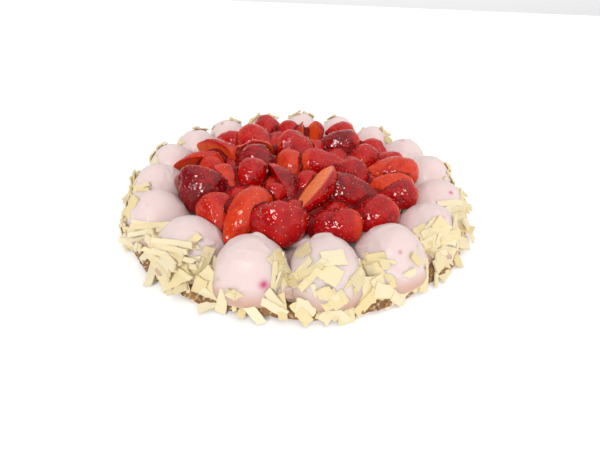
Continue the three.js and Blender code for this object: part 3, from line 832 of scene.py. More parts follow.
def dome_place(dome, scene):
    """Where a dome stands, +X outwards."""
    turn = Matrix.Rotation(math.radians(dome["heading"]), 4, "Z")
    out = Vector((DOME_RING_RADIUS - dome["inward"], 0, cream_level(scene)))
    return turn @ Matrix.Translation(out)


def fold_height(point):
    """How far the cream stands out at a point for the folds near it."""
    height = 0.0
    for start, end, width, rise in CREAM_FOLDS:
        first = Vector(start)
        span = Vector(end) - first
        share = min(1.0, max(0.0, (point - first).dot(span) / span.length_squared))
        height += rise * fading((point - first - span * share).length, width)
    return height


def dome_point(dome, unit, scene, lift=0.0):
    """The point of a dome in a direction from the middle of its foot, or one that lies over it."""
    radii = dome_radii(dome, scene.tart_cream)
    return dome_place(dome, scene) @ Vector([unit[i] * (radii[i] + lift) for i in range(3)])


def fruit_spots(dome, scene):
    """Where the spots of fruit on a dome lie, how wide they are and how strong."""
    found = []
    for number, around, up, width, full in CREAM_SPOTS:
        if number == dome["number"]:
            unit = squarer(direction(around, up), scene.tart_cream.fullness)
            found.append((dome_point(dome, unit, scene), width, full))
    return found


def spot_strength(point, spots):
    """How strongly the cream is coloured by fruit at a point."""
    return max((full * fading((point - at).length, width) for at, width, full in spots), default=0.0)


def squarer(unit, fullness):
    """A point of a unit sphere moved outwards so that the sphere seen from above is squarer."""
    level = math.hypot(unit.x, unit.y)
    if level < 1e-6:
        return unit.copy()
    share = level / (abs(unit.x) ** fullness + abs(unit.y) ** fullness) ** (1 / fullness)
    return Vector((unit.x * share, unit.y * share, unit.z))


def wrinkles(point, salt):
    """How far thin folds stand out of the cream, in patches."""
    patch = smooth_step(lumps(point, 24, salt + 2), -0.1, 0.3)
    across = point.x + 5 * lumps(point, 12, salt)
    high = point.z + 4 * lumps(point, 10, salt + 5)
    bent = Vector((across, point.y * 0.6, high))
    ridge = max(0.0, 1 - 2.4 * abs(lumps(bent, 8, salt + 9)))
    return 0.5 * patch * ridge * ridge


def dome_mesh(dome, scene):
    """One piped dome, pressed against its neighbours, with a rounded foot."""
    cream = scene.tart_cream
    radii = dome_radii(dome, cream)
    place = dome_place(dome, scene)
    reach = DOME_RING_RADIUS - dome["inward"]
    slope = math.tan(math.pi / DOME_COUNT)
    salt = 7.3 * dome["number"]
    bm = bmesh.new()
    bmesh.ops.create_icosphere(bm, subdivisions=6, radius=1)
    spot = bm.verts.layers.float.new("spot")
    spots = fruit_spots(dome, scene)
    for vert in bm.verts:
        unit = squarer(vert.co, cream.fullness)
        point = unit * radii
        normal = Vector([unit[i] / radii[i] for i in range(3)]).normalized()
        swell = 0.5 * lumps(point, 21, salt) + 0.35 * lumps(point, 9, salt) + 0.1 * lumps(point, 3.5, salt)
        swell += wrinkles(point, salt)
        spread = 1 + 0.1 * smooth_step(point.z, 10, 0)
        point = Vector((point.x * spread, point.y * spread, point.z)) + normal * swell
        point += normal * fold_height(place @ point)
        limit = (reach + point.x) * slope - GAP / 2
        side = limit - soft_floor(limit - abs(point.y), 1.6)
        point.y = math.copysign(side, point.y)
        point.z = soft_floor(point.z, 1.5) - 0.1
        vert.co = place @ point
        vert[spot] = spot_strength(vert.co, spots)
    return bm


def skirt_mesh(scene):
    """The rough cream that joins the feet of the domes."""
    cream = scene.tart_cream
    bottom = cream_level(scene)
    top = cream.skirt_height / MM
    inner = cream.bed_radius / MM + 1
    outer = scene.tart_crust.radius / MM - 8
    bm = bmesh.new()
    corners = [(inner, bottom), (outer, bottom), (outer, bottom + 3), (outer - 4, top), (inner, top)]
    verts = [bm.verts.new((x, 0, z)) for x, z in corners]
    section = bm.faces.new(verts)
    bmesh.ops.subdivide_edges(bm, edges=section.edges[:], cuts=5)
    ring = bm.edges[:]
    bmesh.ops.delete(bm, geom=bm.faces[:], context="FACES_ONLY")
    bmesh.ops.spin(
        bm, geom=ring, axis=(0, 0, 1), cent=(0, 0, 0), angle=math.tau, steps=420, use_merge=True
    )
    bmesh.ops.recalc_face_normals(bm, faces=bm.faces[:])

    def rough_place(vert):
        rough = 1.1 * lumps(vert.co, 7, 3) + 0.7 * lumps(vert.co, 3.2, 5) + 0.3 * lumps(vert.co, 1.5, 9)
        free = smooth_step(vert.co.z, bottom, bottom + 2)
        return vert.co + vert.normal * rough * free

    move_each(bm, rough_place)
    return bm


def bed_height(radius, cream):
    """How high the bed stands at a distance from the middle."""
    edge = cream.bed_edge / MM
    share = radius / (cream.bed_radius / MM)
    return edge + cream.bed_crown / MM * math.sqrt(max(0.0, 1 - share * share))


def bed_mesh(scene):
    """The cream under the strawberries, a low round cushion."""
    cream = scene.tart_cream
    radius = cream.bed_radius / MM
    bottom = cream_level(scene)
    bm = bmesh.new()
    bmesh.ops.create_icosphere(bm, subdivisions=6, radius=1)
    soaked = bm.verts.layers.float.new("soaked")
    for vert in bm.verts:
        flat = math.hypot(vert.co.x, vert.co.y)
        share = radius * min(1.0, flat)
        vert[soaked] = smooth_step(share, radius - 1, radius - 7)
        if vert.co.z >= 0:
            height = bed_height(share, cream) + 0.5 * lumps(vert.co * radius, 9)
        else:
            height = max(bottom, bed_height(radius, cream) * (1 + vert.co.z * 4))
        vert.co = Vector((vert.co.x * radius, vert.co.y * radius, height))
    return bm


# ---------------------------------------------------------------- strawberries


def girth(share):
    """A strawberry's radius, as a share of its greatest, from its stalk (0) to its tip (1)."""
    if share <= 0 or share >= 1:
        return 0.0
    return math.sin(math.pi * share**0.66) ** 0.62


class Berry:
    """The shape of one strawberry piece about its own middle, +X to the tip and +Z to its skin."""

    def __init__(self, at, size, tip, skin, cut, number):
        self.length, self.width = size
        self.place = frame_of(Vector(at), direction(*tip), direction(*skin))
        self.number = number
        lean = math.radians((180 - cut) / 2)
        sides = (-1,) if cut == 180 else (-1, 1)
        self.planes = [Vector((0, side * math.sin(lean), math.cos(lean))) for side in sides]
        self.ripeness = RIPENESS.get(number, USUAL_RIPENESS)
        self.tip_paleness = TIP_PALENESS.get(number, USUAL_TIP_PALENESS)
        self.paleness = FLESH_PALENESS.get(number, USUAL_FLESH_PALENESS)
        self.golden = GOLDEN_SHARES.get(number, USUAL_GOLDEN_SHARE)

    def skin_point(self, share, around):
        """A point of the whole berry's skin, at a share of its length and an angle round it."""
        radius = self.width / 2 * girth(share)
        point = Vector(
            ((share - 0.5) * self.length, radius * math.cos(around), radius * math.sin(around))
        )
        salt = 11.7 * self.number
        swell = 1.03 + 0.11 * lumps(point, 14, salt) + 0.06 * lumps(point, 6, salt)
        return Vector((point.x, point.y * swell, point.z * swell))

    def seeds(self, spacing):
        """Places and outward directions of the seeds, in one long spiral round the berry."""
        steps = 200
        areas = []
        total = 0.0
        for step in range(steps):
            share = (step + 0.5) / steps
            total += math.tau * self.width / 2 * girth(share) * self.length / steps
            areas.append(total)
        count = int(total / (spacing * spacing * 0.9))
        golden = math.pi * (3 - math.sqrt(5))
        found = []
        step = 0
        for index in range(count):
            wanted = total * (index + 0.5) / count
            while areas[step] < wanted:
                step += 1
            share = (step + 0.5) / steps
            around = golden * index + 0.35 * draw(index + self.number)
            point = self.skin_point(share, around)
            if min(plane.dot(point) for plane in self.planes) < 1.0:
                continue
            ahead = self.skin_point(min(0.995, share + 0.02), around) - point
            beside = self.skin_point(share, around + 0.05) - point
            outward = beside.cross(ahead).normalized()
            if outward.dot(Vector((0, point.y, point.z))) < 0:
                outward.negate()
            found.append((point, outward, ahead.normalized()))
        return found


def berry_mesh(berry, fruit, rings=64):
    """A strawberry piece with its pits, in its place, and the places of its seeds."""
    depth = fruit.pit_depth / MM
    rounding = fruit.cut_edge / MM
    seeds = berry.seeds(fruit.seed_spacing / MM)
    tree = KDTree(max(1, len(seeds)))
    for index, (point, _, _) in enumerate(seeds):
        tree.insert(point, index)
    tree.balance()
    bm = bmesh.new()
    bmesh.ops.create_uvsphere(bm, u_segments=rings + rings // 2, v_segments=rings, radius=1)
    bmesh.ops.rotate(bm, verts=bm.verts, cent=(0, 0, 0), matrix=Matrix.Rotation(math.pi / 2, 3, "Y"))
    layers = {key: bm.verts.layers.float.new(key) for key in BERRY_LAYERS}
    for vert in bm.verts:
        share = math.acos(max(-1.0, min(1.0, -vert.co.x))) / math.pi
        around = math.atan2(vert.co.z, vert.co.y)
        point = berry.skin_point(share, around)
        cut = 0.0
        radius = max(0.1, berry.width / 2 * girth(share))
        for plane in berry.planes:
            height = plane.dot(point)
            cut = max(cut, smooth_step(-height, -0.5, 0.5))
            point += plane * (soft_floor(height, rounding) - height)
        nearness = 0.0
        if seeds:
            distance = tree.find(point)[2]
            nearness = math.exp(-((distance / PIT_WIDTH) ** 2)) * (1 - cut)
        inward = Vector((0, point.y, point.z)).normalized()
        point -= inward * depth * nearness
        point += inward * 0.12 * lumps(point, 2.5, berry.number) * cut
        vert[layers["ripeness"]] = (
            berry.ripeness
            - STALK_PALENESS * smooth_step(share, 0.28, 0.05)
            - berry.tip_paleness * smooth_step(share, 0.55, 0.95)
        )
        vert[layers["cut"]] = cut
        vert[layers["pit"]] = nearness
        vert[layers["paleness"]] = berry.paleness
        vert[layers["depth"]] = min(1.0, math.hypot(point.y, point.z) / radius)
        vert[layers["along"]] = point.x / RAY_WIDTH + 13 * berry.number
        vert.co = berry.place @ point
    turn = berry.place.to_3x3()
    placed = [(berry.place @ p, turn @ n, turn @ a, berry.golden) for p, n, a in seeds]
    return bm, placed


def upper_berries():
    """The shapes of the strawberries that show whole."""
    return [Berry(*row, number) for number, row in enumerate(STRAWBERRIES, 1)]


def lower_berries(cream):
    """The shapes of the strawberries that are half sunk in the bed."""
    berries = []
    for index, ((x, y), tip) in enumerate(SUNK_STRAWBERRIES):
        at = (x, y, bed_height(math.hypot(x, y), cream) - SUNK_DEPTH)
        berries.append(Berry(at, SUNK_SIZE, (tip, 0), (0, 90), 180, 100 + index))
    return berries


# ---------------------------------------------------------------- flakes


def flake_corners(size, seed):
    """The four uneven corners of a flake that lies flat, its length along X."""
    length, width = size
    corners = []
    for step, (sx, sy) in enumerate(((-1, -1), (1, -1), (1, 1), (-1, 1)), 1):
        along = sx * length * between(0.8, 1.05, seed + step) / 2
        across = sy * width * between(0.7, 1.1, seed + step + 0.5) / 2
        corners.append(Vector((along, across, 0)))
    return corners


def flake_mesh(size, place, seed, thickness, grid):
    """One flake clear of the table: an uneven sheet, curled a little, with broken edges."""
    low_left, low_right, high_right, high_left = flake_corners(size, seed)
    length, width = size
    curl = (draw(seed + 0.21) - 0.35) * 0.06 * length
    twist = swing(0.12, seed + 0.37)
    bm = bmesh.new()
    butter = bm.verts.layers.float.new("butter")
    bmesh.ops.create_grid(bm, x_segments=grid[0], y_segments=grid[1], size=1)
    for vert in bm.verts:
        across, up = (vert.co.x + 1) / 2, (vert.co.y + 1) / 2
        bottom = low_left.lerp(low_right, across)
        top = high_left.lerp(high_right, across)
        point = bottom.lerp(top, up)
        if max(abs(vert.co.x), abs(vert.co.y)) > 0.99:
            point.x += 0.09 * width * lumps((point.x, point.y, seed), 1.9)
            point.y += 0.09 * width * lumps((point.y, point.x, seed + 9), 1.9)
        point.z += curl * vert.co.x**2 + twist * vert.co.x * vert.co.y * width / 2
        point.z += 0.25 * lumps((point.x * 0.4, point.y * 1.6, seed), 2)
        vert.co = point
    bmesh.ops.solidify(bm, geom=bm.faces[:], thickness=thickness)
    bmesh.ops.translate(bm, verts=bm.verts, vec=(0, 0, thickness / 2))
    bmesh.ops.recalc_face_normals(bm, faces=bm.faces[:])
    bmesh.ops.transform(bm, matrix=place, verts=bm.verts)
    lowest = min(vert.co.z for vert in bm.verts)
    if lowest < TABLE_GAP:
        bmesh.ops.translate(bm, verts=bm.verts, vec=(0, 0, TABLE_GAP - lowest))
    tone = draw(seed + 0.77) ** 1.5
    for vert in bm.verts:
        vert[butter] = tone
    return bm


def seeded_lean(seed, most, step=1.0):
    """A small drawn change of the way a flake faces."""
    return Vector([swing(most, seed + step * number) for number in (2, 3, 4)])


def turned_from_level(normal, heading, turn):
    """The level direction across a heading, once it is turned about a normal."""
    level = direction(heading + 90, 0)
    turned = math.radians(turn)
    return level * math.cos(turned) + normal.cross(level) * math.sin(turned)


def lying_flake(dome, around, up, turn, lean, scene, lift=0.0):
    """The place of a flake on a dome, at an angle round it and up it, its length turned from level."""
    radii = dome_radii(dome, scene.tart_cream)
    outward = direction(around, up)
    normal = Vector([outward[i] / radii[i] for i in range(3)]).normalized()
    normal = (normal + lean).normalized()
    along = turned_from_level(normal, around, turn)
    rotation = dome_place(dome, scene).to_3x3()
    return frame_of(dome_point(dome, outward, scene, lift), rotation @ along, rotation @ normal)


def leaning_flake(heading, radius, height, turn, rise):
    """The place of a flake that leans on the edge of the base."""
    at = direction(heading, 0) * radius
    at.z = height
    normal = direction(heading, rise)
    return frame_of(at, turned_from_level(normal, heading, turn), normal)


def prop_flake(row):
    """The size and place of a small flake that runs from under a leaning one back into the cream."""
    heading, radius, height, _, width, _, _ = row
    at = direction(heading, 0) * (radius - PROP_LENGTH / 3)
    at.z = height - 1
    return (PROP_LENGTH, width), frame_of(at, direction(heading, 10), direction(heading, 80))


def scattered_flake(dome, seed, scene):
    """The size and place of a flake that the rule sets on the outer side of a dome."""
    around = swing(LARGE_SPREAD, seed)
    up = between(5, 50, seed + 1, power=1.5)
    lean = seeded_lean(seed, SCATTERED_LEAN)
    place = lying_flake(dome, around, up, 180 * draw(seed + 5), lean, scene)
    return (between(12, 20, seed + 6), between(6, 10, seed + 7)), place


def side_flake(dome, seed, longest, scene):
    """The size and place of one of the many smaller flakes on the outer side of a dome."""
    around = swing(SMALL_SPREAD, seed)
    up = between(2, 48, seed + 0.1, power=1.9)
    lean = seeded_lean(seed, SMALL_LEAN, 0.1)
    place = lying_flake(dome, around, up, 180 * draw(seed + 0.8), lean, scene, SMALL_LIFT)
    return small_size(seed, longest), place


def bundled_flakes(row, seed, scene):
    """The sizes and places of the shavings of one bundle."""
    number, around, up, length, width, turn, count = row
    dome = dome_layout()[number - 1]
    slant = math.radians(turn)
    for step in range(count):
        mark = seed + step
        beside = (step - (count - 1) / 2) * BUNDLE_STEP
        shifted_around = around + swing(10, mark + 0.1) - beside * math.sin(slant)
        shifted_up = max(0, up + swing(8, mark + 0.2) + beside * math.cos(slant))
        shifted_turn = turn + swing(24, mark + 0.3)
        lean = seeded_lean(mark, SMALL_LEAN, 0.1)
        lift = between(SMALL_LIFT, 1, mark + 0.6)
        place = lying_flake(dome, shifted_around, shifted_up, shifted_turn, lean, scene, lift)
        size = (length * between(0.8, 1.25, mark + 0.4), width * between(0.7, 1.3, mark + 0.5))
        yield size, place


def edge_flake(dome, seed, longest, scene):
    """The size and place of one of the flakes that lean on the edge of the base."""
    heading = dome["heading"] + swing(360 / DOME_COUNT, seed)
    lift = draw(seed + 0.1)
    radius = scene.tart_crust.radius / MM - 8 * lift
    rise = between(15, 70, seed + 0.3)
    place = leaning_flake(heading, radius, 2.5 + 9 * lift, 180 * draw(seed + 0.4), rise)
    return small_size(seed, EDGE_LENGTHENING * longest), place


def small_size(seed, longest):
    """The length and width of a small flake, mostly short."""
    length = longest * between(0.35, 1, seed + 0.6, power=1.4)
    return length, length * between(0.22, 0.57, seed + 0.7)


def is_bare(point, spots):
    """Whether a point lies so near a strong spot in the cream that flakes leave it bare."""
    return any(full > STRONG_SPOT and (point - at).length < SPOT_CLEARANCE for at, _, full in spots)


# ---------------------------------------------------------------- operators


class TART_OT_crust(bpy.types.Operator):
    """Adds the baked base"""

    bl_idname = "tart.crust"
    bl_label = "Crust"

    def execute(self, context):
        crust = context.scene.tart_crust
        radius = crust.radius / MM
        top = crust.thickness / MM
        inner = radius - 40
        shoulder = radius - 2
        bm = bmesh.new()
        corners = [(inner, 0), (shoulder, 0), (radius, 2.5), (shoulder, top), (inner, top)]
        verts = [bm.verts.new((x, 0, z)) for x, z in corners]
        edges = [bm.edges.new(pair) for pair in zip(verts, verts[1:])]
        bmesh.ops.subdivide_edges(bm, edges=edges, cuts=5)
        bmesh.ops.spin(
            bm, geom=bm.edges[:], axis=(0, 0, 1), cent=(0, 0, 0), angle=math.tau, steps=600, use_merge=True
        )
        bmesh.ops.remove_doubles(bm, verts=bm.verts, dist=0.001)
        bmesh.ops.holes_fill(bm, edges=[e for e in bm.edges if e.is_boundary], sides=0)
        bmesh.ops.recalc_face_normals(bm, faces=bm.faces[:])

        def rough_place(vert):
            angle = math.atan2(vert.co.y, vert.co.x)
            edge = smooth_step(math.hypot(vert.co.x, vert.co.y), radius - 25, radius - 4)
            ripple = 0.9 * math.sin(9 * angle + 1) + 0.7 * math.sin(17 * angle + 2)
            outward = Vector((vert.co.x, vert.co.y, 0)).normalized()
            rough = 0.7 * lumps(vert.co, 5) + 0.5 * lumps(vert.co, 2) + 0.3 * lumps(vert.co, 1)
            free = edge * smooth_step(vert.co.z, 0, 1.5)
            return vert.co + outward * ripple * edge + vert.normal * rough * crust.crumb / MM * free

        move_each(bm, rough_place)
        finish_piece(bm, "baked_base", baked_crust(crust), ["crust"])
        return {"FINISHED"}


class TART_OT_cream(bpy.types.Operator):
    """Adds the ring of piped domes, the cream between their feet and the bed"""

    bl_idname = "tart.cream"
    bl_label = "Cream"

    def execute(self, context):
        scene = context.scene
        material = whipped_cream(scene.tart_cream)
        nodes = node_names("cream_dome", DOME_COUNT)
        for dome, node in zip(dome_layout(), nodes):
            finish_piece(dome_mesh(dome, scene), f"piped_{dome['number']:02d}", material, [node])
        finish_piece(skirt_mesh(scene), "cream_skirt", material, nodes)
        finish_piece(bed_mesh(scene), "cream_cushion", material, ["cream_bed"])
        return {"FINISHED"}


class TART_OT_strawberries(bpy.types.Operator):
    """Adds the cut strawberries of both layers with their seeds"""

    bl_idname = "tart.strawberries"
    bl_label = "Strawberries"

    def execute(self, context):
        scene = context.scene
        fruit = scene.tart_fruit
        material = glazed_strawberry(fruit)
        nodes = node_names("strawberry", len(STRAWBERRIES))
        seeds = []
        for berry, node in zip(upper_berries(), nodes):
            bm, placed = berry_mesh(berry, fruit)
            seeds += placed
            finish_piece(bm, f"berry_{berry.number:02d}", material, [node])
        lower = []
        for berry in lower_berries(scene.tart_cream):
            bm, placed = berry_mesh(berry, fruit, rings=48)
            seeds += placed
            lower.append(bm)
        finish_piece(joined(lower), "berries_below", material, ["cream_bed"])
        finish_piece(self.all_seeds(seeds, fruit), "seeds", strawberry_seed(fruit), nodes)
        return {"FINISHED"}

    def all_seeds(self, seeds, fruit):
        """Every seed, lying in its pit along the berry, as one mesh."""
        grain = bmesh.new()
        bmesh.ops.create_icosphere(grain, subdivisions=1, radius=0.5)
        length = fruit.seed_length / MM
        bmesh.ops.scale(grain, vec=(length, length * 0.68, length * 0.5), verts=grain.verts)
        mesh = bpy.data.meshes.new("grain")
        grain.to_mesh(mesh)
        grain.free()
        rest = np.empty(len(mesh.vertices) * 3, np.float32)
        mesh.vertices.foreach_get("co", rest)
        tone = mesh.attributes.new("gold", "FLOAT", "POINT")
        whole = bmesh.new()
        for index, (point, outward, ahead, golden) in enumerate(seeds):
            place = frame_of(point - outward * (fruit.pit_depth / MM * 0.6), ahead, outward)
            gold = 0.15 * draw(index + 0.5) + (0.75 if draw(index) < golden else 0)
            tone.data.foreach_set("value", np.full(len(mesh.vertices), gold, np.float32))
            mesh.vertices.foreach_set("co", rest)
            mesh.transform(place)
            whole.from_mesh(mesh)
        bpy.data.meshes.remove(mesh)
        return whole


class TART_OT_glaze(bpy.types.Operator):
    """Adds the glaze that pools between the strawberries"""

    bl_idname = "tart.glaze"
    bl_label = "Glaze"

    STEP = 0.9  # of the grid on which the glaze is worked out
    REACH = 92  # half the width of that grid
    MARGIN = 4  # how far inside the grid the glaze ends
    LOWEST = 8  # nothing lower than this is glazed
    SHOWN_DEPTH = 0.5  # the glaze shows where it is deeper than this
    SHEET_DEPTH = 0.2  # and its sheet ends where it is shallower than this
    SINK = 0.3  # how far it lies under the ball that rolls over the heap
    DIP = 1.5  # how far its sheet runs on under the fruit where it doesn't show
    THICKNESS = 0.8
    NOTHING = -10.0  # the height where the heap has nothing

    def execute(self, context):
        fruit = context.scene.tart_fruit
        tops = self.top_heights(context)
        pooled = self.closed(tops, fruit.pool_radius / MM)
        last = tops.shape[0] - 1
        bm = bmesh.new()
        bmesh.ops.create_grid(bm, x_segments=last, y_segments=last, size=1)
        drop = []
        for vert in bm.verts:
            column = round((vert.co.x + 1) / 2 * last)
            row = round((vert.co.y + 1) / 2 * last)
            x = vert.co.x * self.REACH
            y = vert.co.y * self.REACH
            top = tops[row, column]
            depth = pooled[row, column] - top
            away = math.hypot(x, y) > self.REACH - self.MARGIN or top < self.LOWEST
            shown = depth > self.SHOWN_DEPTH and not away
            vert.co = Vector((x, y, pooled[row, column] - self.SINK if shown else top - self.DIP))
            if depth < self.SHEET_DEPTH or away:
                drop.append(vert)
        bmesh.ops.delete(bm, geom=drop, context="VERTS")
        axes = {"use_axis_x": True, "use_axis_y": True, "use_axis_z": True}
        bmesh.ops.smooth_vert(bm, verts=bm.verts, factor=0.5, **axes)
        bmesh.ops.solidify(bm, geom=bm.faces[:], thickness=self.THICKNESS)
        bmesh.ops.recalc_face_normals(bm, faces=bm.faces[:])
        finish_piece(bm, "glaze", fruit_glaze(fruit), ["cream_bed"])
        return {"FINISHED"}

    def top_heights(self, context):
        """The height of the heap over a square grid, in millimetres."""
        graph = context.evaluated_depsgraph_get()
        wanted = ("berry_", "berries_below", "cream_cushion", "cream_skirt")
        count = int(2 * self.REACH / self.STEP) + 1
        heights = np.full((count, count), self.NOTHING)
        places = np.linspace(-self.REACH, self.REACH, count)
        down = Vector((0, 0, -1))
        for piece in context.scene.objects:
            if not piece.name.startswith(wanted):
                continue
            tree = BVHTree.FromObject(piece, graph)
            corners = [Vector(corner) / MM for corner in piece.bound_box]
            left, right = min(c.x for c in corners), max(c.x for c in corners)
            front, back = min(c.y for c in corners), max(c.y for c in corners)
            for row in np.flatnonzero((places > front) & (places < back)):
                for column in np.flatnonzero((places > left) & (places < right)):
                    start = Vector((places[column] * MM, places[row] * MM, 0.1))
                    hit = tree.ray_cast(start, down)[0]
                    if hit:
                        heights[row, column] = max(heights[row, column], hit.z / MM)
        return heights

    def closed(self, heights, radius):
        """The heights after a ball of a radius has rolled over them from above."""
        return np.maximum(-self.swept(-self.swept(heights, radius), radius), heights)

    def swept(self, heights, radius):
        """How high balls of a radius reach whose tops all lie on a surface."""
        reach = int(radius / self.STEP)
        size = heights.shape[0]
        padded = np.pad(heights, reach, mode="edge")
        raised = np.full_like(heights, -1e3)
        steps = range(2 * reach + 1)
        for row, column in [(row, column) for row in steps for column in steps]:
            away = (row - reach) ** 2 + (column - reach) ** 2
            if away <= reach * reach:
                sag = math.sqrt(max(0.0, radius * radius - away * self.STEP**2)) - radius
                moved = padded[row : row + size, column : column + size]
                raised = np.maximum(raised, moved + sag)
        return raised


class TART_OT_flakes(bpy.types.Operator):
    """Adds the white chocolate flakes, the large ones first"""

    bl_idname = "tart.flakes"
    bl_label = "Chocolate Flakes"

    def execute(self, context):
        scene = context.scene
        chocolate = scene.tart_chocolate
        material = white_chocolate(chocolate)
        thickness = chocolate.thickness / MM
        nodes = node_names("cream_dome", DOME_COUNT)
        large = joined(self.large_flakes(scene, thickness))
        finish_piece(large, "flakes", material, nodes, sharp=FLAKE_CREASE)
        shavings = self.shavings(scene, thickness)
        small = joined([*shavings, *self.ruled_flakes(scene, SMALL_THINNESS * thickness)])
        finish_piece(small, "small_flakes", material, nodes, sharp=FLAKE_CREASE)
        return {"FINISHED"}

    def large_flakes(self, scene, thickness):
        """The listed flakes on domes and on the edge, and one set by rule on each other dome."""
        domes = dome_layout()
        for index, (number, around, up, *size, turn) in enumerate(FLAKES):
            seed = LARGE_SEED_STEP * index
            lean = seeded_lean(seed, PLACED_LEAN)
            place = lying_flake(domes[number - 1], around, up, turn, lean, scene)
            yield flake_mesh(size, place, seed, thickness, LARGE_GRID)
        for index, (heading, radius, height, *size, turn, rise) in enumerate(EDGE_FLAKES):
            place = leaning_flake(heading, radius, height, turn, rise)
            yield flake_mesh(size, place, EDGE_SEED + LARGE_SEED_STEP * index, thickness, LARGE_GRID)
        for dome in domes[FIRST_RULED_DOME - 1 :]:
            seed = RULED_SEED + RULED_SEED_STEP * (dome["number"] - 1)
            yield flake_mesh(*scattered_flake(dome, seed, scene), seed, thickness, LARGE_GRID)

    def shavings(self, scene, thickness):
        """The bundles of shavings, and the flakes on which the highest edge flakes rest."""
        for index, row in enumerate(FLAKE_BUNDLES):
            seed = BUNDLE_SEED + BUNDLE_SEED_STEP * index
            for step, (size, place) in enumerate(bundled_flakes(row, seed, scene)):
                yield flake_mesh(size, place, seed + step, thickness, SHAVING_GRID)
        for index, row in enumerate(EDGE_FLAKES):
            if row[2] >= PROP_HEIGHT:
                yield flake_mesh(*prop_flake(row), PROP_SEED + index, thickness, SHAVING_GRID)

    def ruled_flakes(self, scene, thickness):
        """The small flakes that rules set on each dome and on the edge by it."""
        chocolate = scene.tart_chocolate
        longest = chocolate.small_length / MM
        for dome in dome_layout():
            sides = FLAKE_SHARES.get(dome["number"], 1) * chocolate.side_count
            rules = [
                (side_flake, SMALL_SIDE_SEED, sides),
                (edge_flake, SMALL_EDGE_SEED, chocolate.edge_count),
            ]
            spots = fruit_spots(dome, scene)
            for rule, first, count in rules:
                for step in range(round(count)):
                    seed = first + DOME_SEED_STEP * dome["number"] + SMALL_SEED_STEP * step
                    size, place = rule(dome, seed, longest, scene)
                    if not is_bare(place.translation, spots):
                        yield flake_mesh(size, place, seed, thickness, SMALL_GRID)


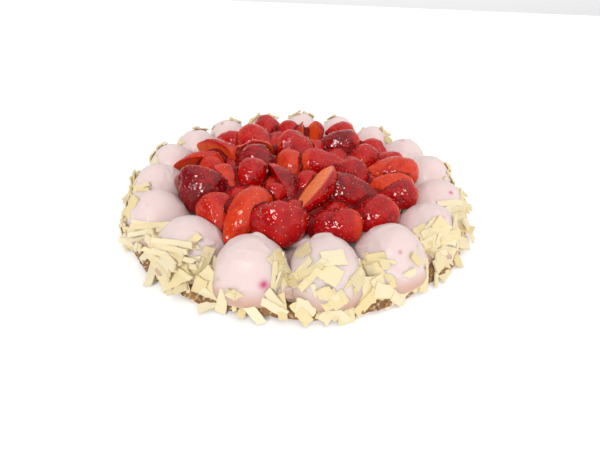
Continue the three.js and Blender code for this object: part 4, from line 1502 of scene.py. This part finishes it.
class TART_OT_stage(bpy.types.Operator):
    """Adds the floor, the lights and the camera"""

    bl_idname = "tart.stage"
    bl_label = "Stage"

    def execute(self, context):
        scene = context.scene
        stage = scene.tart_stage
        bm = bmesh.new()
        bmesh.ops.create_grid(bm, x_segments=1, y_segments=1, size=FLOOR_HALF_WIDTH)
        mesh = bpy.data.meshes.new("floor")
        bm.to_mesh(mesh)
        bm.free()
        mesh.materials.append(pale_floor(stage))
        floor = bpy.data.objects.new("floor", mesh)
        scene.collection.objects.link(floor)
        self.add_sky(scene, stage)
        self.add_lamp(direction(*LAMP_PLACE), stage.lamp)
        self.add_camera(scene)
        scene.view_settings.view_transform = "Standard"
        return {"FINISHED"}

    def add_sky(self, scene, stage):
        """White light from all round, brightest low down, with the broad lights in it."""
        world = bpy.data.worlds.new("studio")
        world.use_nodes = True
        tree = world.node_tree
        tree.nodes.clear()
        ray = add_node(tree, "TexCoord").outputs["Generated"]
        height = add_node(tree, "SeparateXYZ", {"Vector": ray}).outputs["Z"]
        rise = {"From Min": 0.04, "From Max": 0.25, "To Min": stage.horizon, "To Max": stage.sky}
        total = add_node(tree, "MapRange", {"Value": height, **rise}, interpolation_type="SMOOTHSTEP")
        for name, place in SOFT_LIGHTS.items():
            nearness = add_node(tree, "VectorMath", {0: ray, 1: direction(*place)}, operation="DOT_PRODUCT")
            fade = {
                "Value": nearness.outputs["Value"],
                "From Min": math.cos(math.radians(SOFT_EDGE)),
                "From Max": math.cos(math.radians(SOFT_CORE)),
                "To Max": getattr(stage, name),
            }
            soft = add_node(tree, "MapRange", fade, interpolation_type="SMOOTHSTEP")
            total = add_node(tree, "Math", {0: total, 1: soft}, operation="ADD")
        light = add_node(tree, "Background", {"Color": (1, 1, 1, 1), "Strength": total})
        add_node(tree, "OutputWorld", {"Surface": light})
        scene.world = world

    def add_lamp(self, toward, strength):
        """A far lamp in a direction."""
        data = bpy.data.lights.new("lamp", "SUN")
        data.energy = strength
        data.angle = math.radians(LAMP_WIDTH)
        lamp = bpy.data.objects.new("lamp", data)
        lamp.location = toward
        lamp.rotation_euler = (-toward).to_track_quat("-Z", "Y").to_euler()
        bpy.context.scene.collection.objects.link(lamp)

    def add_camera(self, scene):
        """A camera that looks down at the front of the tart, rolled a little."""
        data = bpy.data.cameras.new("camera")
        data.lens = CAMERA_LENS
        data.sensor_width = CAMERA_SENSOR
        data.clip_start = 0.01
        data.clip_end = 100
        camera = bpy.data.objects.new("camera", data)
        turn = Matrix.Rotation(math.radians(90 - CAMERA_TILT), 4, "X")
        roll = Matrix.Rotation(math.radians(CAMERA_ROLL), 4, "Z")
        place = Matrix.Translation(Vector((*CAMERA_PLACE, CAMERA_HEIGHT)) * MM)
        camera.matrix_world = place @ turn @ roll
        scene.collection.objects.link(camera)
        scene.camera = camera


class TART_PT_panel(bpy.types.Panel):
    """The tart's settings and steps"""

    bl_idname = "TART_PT_panel"
    bl_label = "Strawberry Tart"
    bl_space_type = "VIEW_3D"
    bl_region_type = "UI"
    bl_category = "Tart"

    def draw(self, context):
        for operator in OPERATORS:
            self.layout.operator(operator.bl_idname)
        for name in SETTINGS:
            box = self.layout.box()
            settings = getattr(context.scene, name)
            box.label(text=name)
            for key in type(settings).__annotations__:
                box.prop(settings, key)


SETTINGS = {
    "tart_crust": CrustSettings,
    "tart_cream": CreamSettings,
    "tart_fruit": FruitSettings,
    "tart_chocolate": ChocolateSettings,
    "tart_stage": StageSettings,
}
OPERATORS = (
    TART_OT_crust,
    TART_OT_cream,
    TART_OT_strawberries,
    TART_OT_glaze,
    TART_OT_flakes,
    TART_OT_stage,
)
CLASSES = (*SETTINGS.values(), *OPERATORS, TART_PT_panel)


def register():
    """Registers the classes and hangs the settings on the scene."""
    for item in CLASSES:
        bpy.utils.register_class(item)
    for name, group in SETTINGS.items():
        setattr(bpy.types.Scene, name, PointerProperty(type=group))


def unregister():
    """Takes the settings and the classes away again."""
    for name in SETTINGS:
        delattr(bpy.types.Scene, name)
    for item in reversed(CLASSES):
        bpy.utils.unregister_class(item)


def main():
    """Builds the whole tart on its stage."""
    register()
    bpy.ops.tart.crust()
    bpy.ops.tart.cream()
    bpy.ops.tart.strawberries()
    bpy.ops.tart.glaze()
    bpy.ops.tart.flakes()
    bpy.ops.tart.stage()


if __name__ == "__main__":
    main()
